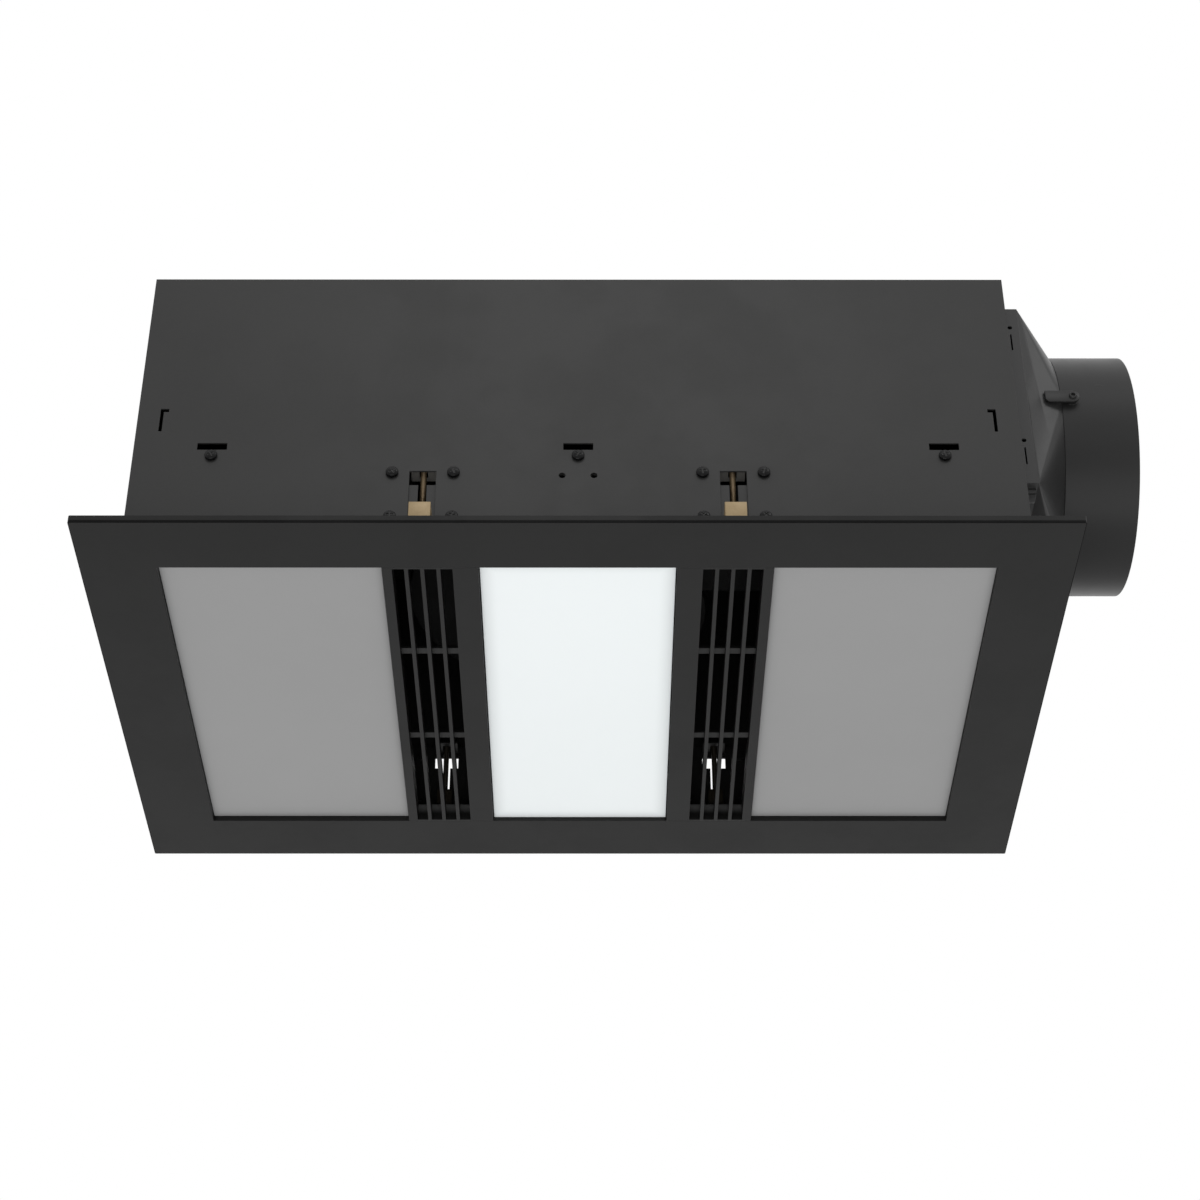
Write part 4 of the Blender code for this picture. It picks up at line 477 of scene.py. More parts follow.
class Finishes:
    """Every finish of the heater."""

    BARS = (89.95 * MM, 17.5 * MM)
    SHEET = Finish(
        "black powder coat", "black_sheet", (0.016, 0.016, 0.0157), 0.45, Effect.PEEL, 700.0, 0.02 * MM,
        specular=0.28, patch_share=0.03, gloss_share=0.06, edge_share=0.15, dust=0.05,
        nodes=("housing_shell", "duct_plate", "heater_strap_", "light_strap"))
    # Painted light: the front brackets' down-facing faces above 57.2 mm, under the tab, are coloured lighter
    # than the black coat.
    BRACKET = replace(
        SHEET, name="black powder coat, painted light on tab", dust=0.0, nodes=("clamp_bracket_",),
        zones=(Zone((0.11, 0.105, 0.095), limits=(Zone.FRONT, ("GREATER_THAN", 2, 57.2 * MM))),))
    FASCIA = Finish(
        "black moulding", "black_plastic", (0.0055, 0.0055, 0.0053), 0.48, Effect.MOULD, 2200.0, 0.01 * MM,
        specular=0.26, patch_share=0.04, gloss_share=0.06, edge_share=0.12, edge_colour=(0.04, 0.04, 0.04),
        dust=0.02, nodes=("fascia_", "cable_gland", "thermal_cutout_"))
    # Painted light: the zones colour the down-facing faces of the bars within BARS lighter, the raised cross
    # bars' lighter still, and the front faces of the back end wall lighter towards the top.
    GRILLE = replace(
        FASCIA, name="grille moulding", colour=(0.0058, 0.0058, 0.0056), roughness=0.47, specular=0.255,
        nodes=("grille_",), zones=(
            Zone((0.011, 0.011, 0.0107), beside=BARS),
            Zone((0.024, 0.024, 0.0235), beside=BARS, limits=(Zone.RAISED,)),
            Zone((0.095, 0.095, 0.094), 1, limits=(("GREATER_THAN", 1, 136.0 * MM),),
                 fade=(-0.5 * MM, 5.5 * MM))))
    # Painted shade: a darker, less glossy copy of the fascia moulding, laid over the lip.
    SHADED_LIP = Finish(
        "lip moulding, painted shade", "black_plastic", (0.0050, 0.0050, 0.0049), 0.52, Effect.MOULD, 2200.0, 0.01 * MM,
        specular=0.21, patch_share=0.04, edge_share=0.1, edge_colour=(0.02, 0.02, 0.02))
    # Painted shade: a near-black band along the lip's lower edge, where the edge shows dark.
    SHADE_LINE = replace(
        SHADED_LIP, name="painted shade band", colour=(0.0016, 0.0016, 0.0016), roughness=0.60, grain=1900.0, specular=0.08,
        edge_share=0.05, edge_colour=(0.01, 0.01, 0.01))
    # The inner parts are black moulding, made darker than the fascia's as painted shade inside the housing.
    INNER = replace(
        SHADED_LIP, name="inner moulding, painted shade", colour=(0.0025, 0.0025, 0.0024), roughness=0.55, grain=1500.0,
        specular=0.14, nodes=("inlet_ring", "impeller", "fan_scroll", "scroll_lid"))
    DUCT = replace(
        FASCIA, name="duct moulding", slot="dark_duct", colour=(0.0135, 0.0135, 0.0135), roughness=0.38,
        grain=1500.0, height=0.008 * MM, specular=0.25, edge_colour=(0.05, 0.05, 0.05), dust=0.04,
        nodes=("duct_collar",))
    # Painted light: the hood's zone colours its down-facing faces at the front lighter than the moulding.
    HOOD = replace(
        DUCT, name="hood moulding", colour=(0.0165, 0.0165, 0.0165), roughness=0.36, specular=0.32,
        nodes=("duct_hood",), zones=(Zone((0.06, 0.06, 0.06), limits=(Zone.FRONT, Zone.RAISED)),))
    ZINC = Finish(
        "zinc-coated sheet", "galvanised", (0.37, 0.38, 0.39), 0.40, Effect.SPANGLE, 140.0, 0.01 * MM,
        metallic=1.0, tone_share=0.28, gloss_share=0.22, edge_share=0.3, edge_colour=(0.62, 0.62, 0.62),
        dust=0.12, nodes=("fan_motor", "damper_flap", "terminal_box", "terminal_cover"))
    MIRROR = Finish(
        "reflector sheet", "mirror_sheet", (0.80, 0.80, 0.79), 0.16, Effect.ROLLED, 900.0, 0.004 * MM,
        metallic=1.0, tone_share=0.05, patch_share=0.05, gloss_share=0.10, nodes=("reflector_",))
    BRONZE = Finish(
        "yellow passivated steel", "bronze", (0.27, 0.20, 0.11), 0.50, Effect.PEEL, 1300.0, 0.02 * MM,
        metallic=0.45, tone_share=0.12, patch_scale=90.0, patch_share=0.10, gloss_share=0.2, edge_share=0.35,
        edge_colour=(0.42, 0.35, 0.24), nodes=("clamp_screw_", "clamp_jaw_"))
    # Painted shade: a darker copy of the yellow passivated steel, for the rods behind the housing's wall.
    SHADED_ROD = Finish(
        "passivated steel, painted shade", "bronze", (0.19, 0.138, 0.078), 0.40, Effect.PEEL, 1300.0, 0.01 * MM,
        metallic=0.5, patch_scale=120.0, patch_share=0.10, gloss_share=0.2, edge_share=0.2,
        edge_colour=(0.30, 0.24, 0.16))
    # Near-black steel for the nuts and the back clamps' rods, darkened as painted shade inside the housing.
    NUT_AND_SHADE = replace(
        SHADED_ROD, name="near-black steel, painted shade", colour=(0.022, 0.018, 0.013), roughness=0.45, metallic=0.0, specular=0.2,
        gloss_share=0.12, edge_colour=(0.10, 0.08, 0.05))
    SPRING = Finish(
        "spring strip", "spring_steel", (0.42, 0.41, 0.39), 0.30, Effect.ROLLED, 1600.0, 0.01 * MM,
        metallic=1.0, patch_scale=50.0, gloss_share=0.15, edge_share=0.3, edge_colour=(0.6, 0.6, 0.6),
        nodes=("clip_", "motor_shaft", "damper_spindle"))
    FASTENER = Finish(
        "black zinc screw", "black_sheet", (0.004, 0.004, 0.0042), 0.24, Effect.PEEL, 1800.0, 0.004 * MM,
        specular=0.15, patch_scale=160.0, edge_share=0.45, edge_colour=(0.22, 0.22, 0.22))
    # Painted shade: the rim zone darkens each pane softly towards its edges.
    PANE = Finish(
        "frosted grey pane", "frosted_glass", (0.275, 0.275, 0.275), 0.42, Effect.CLAY, 2600.0, 0.01 * MM,
        specular=0.35, tone_share=0.03, patch_scale=5.0, patch_share=0.4, patch_tone=1.1, gloss_share=0.06,
        edge_share=0.1, nodes=("heater_glass_",),
        zones=(ShadedRim((0.253, 0.253, 0.253), middle=178.05 * MM, half_x=64.45 * MM, falloff=5.0 * MM),))
    # Painted shade: the rim zone darkens the opal pane softly towards its edges.
    OPAL = Finish(
        "opal pane", "opal", (0.85, 0.89, 0.895), 0.34, Effect.CLAY, 1800.0, 0.004 * MM, specular=0.4,
        tone_share=0.01, patch_scale=6.0, patch_share=0.1, patch_tone=1.1, gloss_share=0.05, edge_share=0.1,
        edge_colour=(0.85, 0.88, 0.88), nodes=("light_diffuser",),
        zones=(ShadedRim((0.748, 0.7832, 0.7876), half_x=56.8 * MM, falloff=10.0 * MM),))
    QUARTZ = ClearTube(
        "drawn quartz", "quartz", (0.92, 0.93, 0.93), 0.04, Effect.ROLLED, 700.0, 0.01 * MM,
        nodes=("lamp_left", "lamp_right"))
    CERAMIC = Finish(
        "lamp socket ceramic", "ceramic", (0.80, 0.77, 0.70), 0.62, Effect.CLAY, 1400.0, 0.04 * MM,
        patch_scale=60.0, edge_share=0.3, edge_colour=(0.88, 0.86, 0.80), nodes=("lamp_holder_",))
    SEAL = Finish(
        "silicone seal", "silicone", (0.16, 0.16, 0.16), 0.70, Effect.MOULD, 1800.0, 0.02 * MM,
        nodes=("glass_seal_",))
    ENAMEL = Finish(
        "white enamel", "white_sheet", (0.80, 0.80, 0.79), 0.40, Effect.PEEL, 800.0, 0.02 * MM,
        patch_share=0.04, edge_colour=(0.86, 0.86, 0.85), dust=0.05, nodes=("light_tray",))
    BOARD = Finish(
        "light board", "board", (0.84, 0.85, 0.84), 0.38, Effect.MOULD, 2400.0, 0.006 * MM, patch_share=0.04,
        edge_share=0.4, edge_colour=(0.62, 0.58, 0.40), nodes=("led_board",))
    CASING = Finish(
        "white moulding", "white_plastic", (0.72, 0.72, 0.70), 0.45, Effect.MOULD, 1700.0, 0.02 * MM,
        patch_share=0.06, edge_colour=(0.80, 0.80, 0.78), dust=0.08,
        nodes=("light_driver", "terminal_block", "run_capacitor"))


def new_object(name: str, data: bpy.types.ID | None) -> bpy.types.Object:
    """Add an object to the scene.

    Args:
        name: The object's name.
        data: Its mesh, camera or light.

    Returns:
        The new object.
    """
    item = bpy.data.objects.new(name, data)
    bpy.context.collection.objects.link(item)
    return item


def settled(bm: Shape, name: str) -> bpy.types.Mesh:
    """Turn a bmesh into a mesh and free it.

    Args:
        bm: The bmesh.
        name: The mesh's name.

    Returns:
        The new mesh.
    """
    mesh = bpy.data.meshes.new(name)
    bm.to_mesh(mesh)
    bm.free()
    return mesh


def pour(source: Shape, target: Shape) -> None:
    """Move one bmesh's shape into another and free it.

    Args:
        source: Shape to move.
        target: Mesh that receives it.
    """
    mesh = settled(source, "poured")
    target.from_mesh(mesh)
    bpy.data.meshes.remove(mesh)


def carve(body: Shape, tool: Shape) -> Shape:
    """Cut one shape out of another.

    Args:
        body: Shape to cut.
        tool: Shape to take away.

    Returns:
        The cut shape; both given ones are freed.
    """
    cut, cutter = (new_object("carving", settled(source, "carving")) for source in (body, tool))
    step = cut.modifiers.new("Cut", "BOOLEAN")
    step.operation = "DIFFERENCE"
    step.solver = "EXACT"
    step.object = cutter
    depsgraph = bpy.context.evaluated_depsgraph_get()
    baked = bpy.data.meshes.new_from_object(cut.evaluated_get(depsgraph))
    made = bmesh.new()
    made.from_mesh(baked)
    meshes = [cut.data, cutter.data, baked]
    for item in (cut, cutter):
        bpy.data.objects.remove(item, do_unlink=True)
    for mesh in meshes:
        bpy.data.meshes.remove(mesh)
    return made


def turned(place: Point, angle: float, axis: str) -> Matrix:
    """Transform that turns about an axis and then moves to a place."""
    return Matrix.Translation(Vector(place)) @ Matrix.Rotation(angle, 4, axis)


def soften(bm: Shape, edges: Iterable[bmesh.types.BMEdge], width: float, segments: int = 2) -> None:
    """Round edges off by a width, in a number of faces."""
    bmesh.ops.bevel(bm, geom=list(edges), offset=width, offset_type="OFFSET", segments=segments,
                    profile=0.5, affect="EDGES", material=-1)


def box(low: Point, high: Point) -> Shape:
    """Model a box.

    Args:
        low: Lowest corner.
        high: Highest corner.

    Returns:
        Its shape.
    """
    size = Vector(high) - Vector(low)
    middle = (Vector(high) + Vector(low)) / 2
    made = bmesh.new()
    bmesh.ops.create_cube(made, size=1.0, matrix=Matrix.Translation(middle) @ Matrix.Diagonal((*size, 1.0)))
    return made


def rod(radius: float, low: float, high: float) -> Profile:
    """Profile of a plain rod between two levels."""
    return [(0.0, low), (radius, low), (radius, high), (0.0, high)]


def lathe(profile: Profile, steps: int, place: Matrix | None = None, closed: bool = False) -> Shape:
    """Turn a profile about the Z axis.

    Args:
        profile: Radius and height of each point.
        steps: Faces round the axis.
        place: Transform of the finished shape, or none to leave it.
        closed: True where the profile is a loop, for a ring.

    Returns:
        The turned shape.
    """
    made = bmesh.new()
    verts = [made.verts.new((radius, 0.0, level)) for radius, level in profile]
    edges = [made.edges.new(pair) for pair in zip(verts, verts[1:])]
    if closed:
        edges.append(made.edges.new((verts[-1], verts[0])))
    bmesh.ops.spin(made, geom=verts + edges, cent=(0, 0, 0), axis=(0, 0, 1), angle=math.tau, steps=steps,
                   use_merge=True)
    bmesh.ops.remove_doubles(made, verts=made.verts, dist=MERGE)
    bmesh.ops.recalc_face_normals(made, faces=made.faces)
    if place:
        bmesh.ops.transform(made, matrix=place, verts=made.verts)
    return made


def new_piece(name: str, bm: Shape, body: str, finish: Finish, smooth: float = 32.0,
              replaces: Sequence[str] = ()) -> None:
    """Turn a bmesh into a finished piece that rides on a body.

    Args:
        name: The piece's name.
        bm: Its shape, which is freed.
        body: Body that it rides on.
        finish: Its finish.
        smooth: Angle in degrees above which an edge stays sharp.
        replaces: Packed nodes that it stands for.
    """
    mesh = settled(bm, name)
    mesh.materials.append(finish.material())
    mesh.shade_smooth()
    mesh.set_sharp_from_angle(angle=math.radians(smooth))
    piece = new_object(name, mesh)
    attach(piece, body)
    if replaces:
        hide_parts(*replaces)
    LOG.info("piece %s: %d faces on %s", name, len(mesh.polygons), body)


def dress_nodes() -> None:
    """Give every packed node the finish that names it."""
    finishes = [finish for finish in vars(Finishes).values() if isinstance(finish, Finish)]
    for name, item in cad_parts.items():
        material = next(finish for finish in finishes if name.startswith(finish.nodes)).material()
        if not item.material_slots:
            item.data.materials.append(material)
        for slot in item.material_slots:
            slot.material = material
        LOG.info("node %s: %s", name, material.name)


@dataclass(frozen=True)
class PanHead:
    """Cross-recessed pan head of a small screw."""

    radius: float = 3.75 * MM
    height: float = 2.7 * MM
    rim_share: float = 0.35
    crown_steps: int = 7
    recess: float = 0.7 * MM
    arm: float = 2.0 * MM
    arm_width: float = 0.75 * MM
    sides: int = 24

    def shape(self) -> Shape:
        """Model the head on the origin, facing +Z.

        Returns:
            Its shape.
        """
        crown = [(0.0, self.height)]
        for step in range(1, self.crown_steps + 1):
            angle = step / self.crown_steps * QUARTER_TURN
            level = self.height * (self.rim_share + (1.0 - self.rim_share) * math.cos(angle))
            crown.append((self.radius * math.sin(angle), level))
        head = lathe([*crown, (self.radius, 0.0), (0.0, 0.0)], self.sides)
        floor, top = self.height - self.recess, self.height + self.recess
        for x, y in ((self.arm, self.arm_width / 2), (self.arm_width / 2, self.arm)):
            head = carve(head, box((-x, -y, floor), (x, y, top)))
        return head


@dataclass(frozen=True)
class Fasteners:
    """Screw heads on the outside of the housing's long walls."""

    clamp_x: float = 90.8 * MM
    clamp_pitch: float = 35.9 * MM
    clamp_levels: Span = (19.7 * MM, 52.5 * MM)
    strap_x: float = 215.8 * MM
    strap_level: float = 65.3 * MM
    seat: float = 0.3 * MM
    spin: float = 37.0

    def build(self) -> None:
        """Set the screws of the clamp plates and straps in both long walls, each turned a little further."""
        mesh = settled(PanHead().shape(), "pan head")
        for side, word in zip(SIDES, ("front", "back")):
            y = side * (HALF_WIDTH + self.seat)
            seats = [(end * self.clamp_x + across * self.clamp_pitch / 2, y, z)
                     for end in SIDES for across in SIDES for z in self.clamp_levels]
            seats += [(x, y, self.strap_level) for x in (-self.strap_x, 0.0, self.strap_x)]
            heads = bmesh.new()
            for number, seat in enumerate(seats):
                one = bmesh.new()
                one.from_mesh(mesh)
                place = turned(seat, -side * QUARTER_TURN, "X")
                spin = Matrix.Rotation(math.radians(self.spin * number), 4, "Z")
                bmesh.ops.transform(one, matrix=place @ spin, verts=one.verts)
                pour(one, heads)
            new_piece(f"screw_heads_{word}", heads, Body.HOUSING.value, Finishes.FASTENER)
        bpy.data.meshes.remove(mesh)


@dataclass(frozen=True)
class LipBands:
    """Two bands of painted shade round the fascia's outer edge: a darker one on the lip, a near-black one
    below it.
    """

    half_x: float = 287.5 * MM
    half_y: float = 181.75 * MM
    proud: float = 0.08 * MM
    wall: float = 0.5 * MM
    corner: float = 0.6 * MM
    levels: tuple[float, float, float] = (-4.97 * MM, -3.35 * MM, -0.05 * MM)

    def band(self, name: str, low: float, high: float, finish: Finish) -> None:
        """Model one band, with its corners cut a little.

        Args:
            name: The piece's name.
            low: Its lower level.
            high: Its upper level.
            finish: Its finish.
        """
        made, loops, cut = bmesh.new(), [], self.corner
        for inset, level in ((0.0, low), (0.0, high), (self.wall, high), (self.wall, low)):
            x, y = self.half_x + self.proud - inset, self.half_y + self.proud - inset
            outline = ((x, y - cut), (x - cut, y), (cut - x, y), (-x, y - cut), (-x, cut - y), (cut - x, -y),
                       (x - cut, -y), (x, cut - y))
            loops.append([made.verts.new((*point, level)) for point in outline])
        for loop, after in zip(loops, [*loops[1:], loops[0]]):
            for number in range(len(loop)):
                following = (number + 1) % len(loop)
                made.faces.new((loop[number], loop[following], after[following], after[number]))
        bmesh.ops.recalc_face_normals(made, faces=made.faces)
        new_piece(name, made, Body.FASCIA.value, finish)

    def build(self) -> None:
        """Model both bands."""
        low, middle, high = self.levels
        self.band("fascia_lip_shade_band", middle, high, Finishes.SHADED_LIP)
        self.band("fascia_edge_shade_line", low, middle, Finishes.SHADE_LINE)


@dataclass(frozen=True)
class CeilingClamp:
    """One screw-driven ceiling clamp: threaded rod, jaw and nut."""

    corner: str
    end: int
    side: int
    middle: float = 90.8 * MM
    depth: float = 8.0 * MM
    rod: float = 1.8 * MM
    root: float = 1.48 * MM
    pitch: float = 0.7 * MM
    head: float = 3.7 * MM
    head_edge: float = 0.35 * MM
    head_levels: Span = (1.6 * MM, 4.7 * MM)
    slot: Point = (0.5 * MM, 5.55 * MM, 2.6 * MM)
    shoulder: tuple[float, float, float] = (3.2 * MM, 6.5 * MM, 7.3 * MM)
    top: float = 62.0 * MM
    sides: int = 20
    jaw_low: Point = (-6.4 * MM, -12.0 * MM, 9.8 * MM)
    jaw_high: Point = (6.4 * MM, 1.2 * MM, 21.8 * MM)
    jaw_edge: float = 0.5 * MM
    neck: float = 2.2 * MM
    neck_span: Span = (0.6 * MM, 3.4 * MM)
    neck_inset: float = 1.0 * MM
    nut_half: float = 5.0 * MM
    nut_span: Span = (3.0 * MM, 13.0 * MM)
    nut_edge: float = 0.4 * MM
    bore: tuple[float, float, float] = (2.1 * MM, 0.0, 40.0 * MM)

    def place(self) -> Matrix:
        """Transform from the clamp's own frame to the heater's."""
        turn = 0.0 if self.side < 0 else math.pi
        return turned((self.end * self.middle, self.side * HALF_WIDTH, 0.0), turn, "Z")

    def thread(self) -> Profile:
        """Lay out the rod from its head to its point.

        Returns:
            Its profile.
        """
        low, high = self.head_levels
        rim, start, stop = self.shoulder
        edge = self.head_edge
        points = [(0.0, low), (self.head - edge, low), (self.head, low + edge), (self.head, high - edge),
                  (self.head - edge, high), (self.rod, high), (self.rod, start), (rim, start), (rim, stop),
                  (self.root, stop)]
        level = stop + self.pitch
        while level < self.top - self.pitch:
            points += [(self.root, level), (self.rod, level + self.pitch / 2)]
            level += self.pitch
        return [*points, (self.root, self.top - self.pitch / 2), (self.root / 2, self.top), (0.0, self.top)]

    def screw(self) -> None:
        """Model the threaded rod with its slotted head."""
        half, reach, depth = self.slot
        made = carve(lathe(self.thread(), self.sides), box((-half, -reach, 0.0), (half, reach, depth)))
        axis = self.place() @ Matrix.Translation((0.0, self.depth, 0.0))
        bmesh.ops.transform(made, matrix=axis, verts=made.verts)
        # The back clamps' rods take the near-black finish as painted shade inside the housing.
        finish = Finishes.SHADED_ROD if self.side < 0 else Finishes.NUT_AND_SHADE
        new_piece(f"clamp_rod_{self.corner}", made, f"screw_{self.corner}", finish,
                  replaces=(f"clamp_screw_{self.corner}",))

    def jaw(self) -> None:
        """Model the jaw, its neck and the nut round the rod."""
        low, high = self.jaw_low[2], self.jaw_high[2]
        made = box(self.jaw_low, self.jaw_high)
        soften(made, made.edges, self.jaw_edge, segments=3)
        pour(box((-self.neck, self.neck_span[0], low + self.neck_inset),
                 (self.neck, self.neck_span[1], high - self.neck_inset)), made)
        nut = box((-self.nut_half, self.nut_span[0], low), (self.nut_half, self.nut_span[1], high))
        soften(nut, nut.edges, self.nut_edge)
        bore = lathe(rod(*self.bore), self.sides, Matrix.Translation((0.0, self.depth, 0.0)))
        # The nuts take the near-black finish, darkened as painted shade inside the housing.
        for name, part, finish in (("block", made, Finishes.BRONZE), ("nut", carve(nut, bore), Finishes.NUT_AND_SHADE)):
            bmesh.ops.transform(part, matrix=self.place(), verts=part.verts)
            new_piece(f"clamp_{name}_{self.corner}", part, f"jaw_{self.corner}", finish,
                      replaces=(f"clamp_jaw_{self.corner}",))

    def build(self) -> None:
        """Model the clamp's moving pieces."""
        self.screw()
        self.jaw()


@dataclass(frozen=True)
class Duct:
    """Square-to-round hood and round collar on the right-hand wall."""

    centre: Point = (0.0, -60.5 * MM, 126.0 * MM)
    half_y: float = 80.5 * MM
    half_z: float = 69.5 * MM
    pan_x: float = 263.8 * MM
    brim_x: float = 272.0 * MM
    rim_x: float = 293.3 * MM
    end_x: float = 338.5 * MM
    radius: float = 75.0 * MM
    sheet: float = 1.0 * MM
    spigot: float = 8.0 * MM
    gap: float = 0.3 * MM
    seam: float = 0.04 * MM
    rim_edge: float = 0.3 * MM
    quarter: int = 24
    rulings: tuple[float, ...] = (0.0, 0.06, 0.16, 0.32, 0.52, 0.75, 1.0)
    slot_x: float = 266.5 * MM
    slot_half: float = 0.45 * MM
    slot_length: float = 13.0 * MM
    slot_tops: Span = (174.5 * MM, 84.0 * MM)
    hole_rise: float = 5.5 * MM
    hole_radius: float = 1.4 * MM
    hole_sides: int = 20
    reach: float = 3.0 * MM
    lug_inset: float = 4.5 * MM
    lug_length: float = 11.5 * MM
    lug_height: float = 4.2 * MM
    lug_round: float = 3.4 * MM
    damper_x: float = 317.8 * MM
    damper_rise: float = 8.0 * MM
    boss_radius: float = 5.0 * MM
    boss_sides: int = 32
    boss_edge: float = 0.4 * MM
    boss_span: Span = (66.07 * MM, 73.8 * MM)
    socket_radius: float = 2.3 * MM
    socket_depth: float = 6.3 * MM
    tab_x: Span = (283.1 * MM, 304.0 * MM)
    tab_y: Span = (-140.0 * MM, -138.5 * MM)
    tab_level: float = 125.3 * MM
    tab_half: float = 4.25 * MM
    tab_cut: float = 1.8 * MM
    tab_edge: float = 0.1 * MM
    tab_steps: int = 12
    tab_sides: int = 24
    head_radius: float = 2.4 * MM
    head_height: float = 1.4 * MM
    head_edge: float = 0.5 * MM
    drive_radius: float = 1.3 * MM
    drive_floor: float = 0.3 * MM

    def corner(self, number: int) -> Vector:
        """Corner of the hood's brim, counted round from +Y +Z."""
        signs = ((1, 1), (-1, 1), (-1, -1), (1, -1))[number % 4]
        return Vector((self.brim_x, signs[0] * self.half_y, signs[1] * self.half_z))

    def mouth(self, step: int, x: float, radius: float) -> Vector:
        """Point of a ring about the duct's axis."""
        angle = math.tau * step / (4 * self.quarter)
        return Vector((x, radius * math.cos(angle), radius * math.sin(angle)))

    def skin(self) -> Shape:
        """Model the hood's skin: straight brim, flat triangles, ruled corners and spigot.

        Returns:
            Its shape, about the duct's axis.
        """
        made = bmesh.new()

        def face(*points: Vector) -> None:
            """Add one face with its own corners."""
            made.faces.new([made.verts.new(point) for point in points])

        back = Vector((self.pan_x - self.brim_x, 0, 0))
        for number in range(4):
            near, far = self.corner(number), self.corner(number + 1)
            face(near + back, far + back, far, near)
            apex = self.mouth((number + 1) * self.quarter, self.rim_x, self.radius)
            face(*(near.lerp(apex, share) for share in self.rulings),
                 *(far.lerp(apex, share) for share in reversed(self.rulings[:-1])))
            for step in range(number * self.quarter, (number + 1) * self.quarter):
                first, second = (self.mouth(turn, self.rim_x, self.radius) for turn in (step, step + 1))
                face(near, near.lerp(first, self.rulings[1]), near.lerp(second, self.rulings[1]))
                for low, high in zip(self.rulings[1:], self.rulings[2:]):
                    face(near.lerp(first, low), near.lerp(first, high), near.lerp(second, high),
                         near.lerp(second, low))
        inner = self.radius - self.sheet - self.gap
        rings = ((self.rim_x, self.radius), (self.rim_x, inner), (self.rim_x + self.spigot, inner))
        for ring, after in zip(rings, rings[1:]):
            for step in range(4 * self.quarter):
                face(self.mouth(step, *ring), self.mouth(step + 1, *ring), self.mouth(step + 1, *after),
                     self.mouth(step, *after))
        bmesh.ops.remove_doubles(made, verts=made.verts, dist=MERGE)
        bmesh.ops.recalc_face_normals(made, faces=made.faces)
        return made

    def openings(self) -> Shape:
        """Model what the brim's slots and holes take away.

        Returns:
            Its shape.
        """
        tool = bmesh.new()
        for side in SIDES:
            wall = self.centre[1] + side * self.half_y
            for top in self.slot_tops:
                pour(box((self.slot_x - self.slot_half, wall - self.reach, top - self.slot_length),
                         (self.slot_x + self.slot_half, wall + self.reach, top)), tool)
                pour(lathe(rod(self.hole_radius, -self.reach, self.reach), self.hole_sides,
                           turned((self.slot_x, wall, top + self.hole_rise), QUARTER_TURN, "X")), tool)
        return tool

    def hood(self) -> None:
        """Model the hood with its slots, holes and lugs, which have rounded lower edges."""
        made = self.skin()
        bmesh.ops.solidify(made, geom=made.faces, thickness=self.sheet)
        bmesh.ops.recalc_face_normals(made, faces=made.faces)
        bmesh.ops.translate(made, vec=self.centre, verts=made.verts)
        made = carve(made, self.openings())
        low = self.centre[2] - self.half_z
        for side in SIDES:
            outer = self.centre[1] + side * (self.half_y - self.lug_inset)
            inner = outer - side * self.lug_length
            lug = box((self.pan_x, min(inner, outer), low - self.lug_height),
                      (self.brim_x - self.sheet, max(inner, outer), low + self.sheet / 2))
            under = [edge for edge in lug.edges
                     if all(vert.co.z < low - self.sheet for vert in edge.verts)
                     and abs(edge.verts[0].co.y - edge.verts[1].co.y) < self.sheet]
            soften(lug, under, self.lug_round, segments=6)
            pour(lug, made)
        new_piece("duct_hood_dressed", made, Body.HOUSING.value, Finishes.HOOD, smooth=10.0,
                  replaces=("duct_hood",))

    def collar(self) -> None:
        """Model the collar's wall with rounded rims, the damper's bosses and the screwed tab."""
        start, end, edge = self.rim_x + self.seam, self.end_x, self.rim_edge
        outer, inner = self.radius, self.radius - self.sheet
        wall = [(outer - edge, start), (outer, start + edge), (outer, end - edge), (outer - edge, end),
                (inner + edge, end), (inner, end - edge), (inner, start + edge), (inner + edge, start)]
        made = lathe(wall, 4 * self.quarter, turned(self.centre, QUARTER_TURN, "Y"), closed=True)
        low, high = self.boss_span
        floor, edge = low + self.socket_depth, self.boss_edge
        boss = [(self.socket_radius, floor), (self.socket_radius, low), (self.boss_radius - edge, low),
                (self.boss_radius, low + edge), (self.boss_radius, high), (0.0, high), (0.0, floor)]
        for side in SIDES:
            place = (self.damper_x, self.centre[1], self.centre[2] + self.damper_rise)
            pour(lathe(boss, self.boss_sides, turned(place, -side * QUARTER_TURN, "X")), made)
        self.tab(made)
        new_piece("duct_collar_dressed", made, Body.HOUSING.value, Finishes.DUCT,
                  replaces=("duct_collar",))

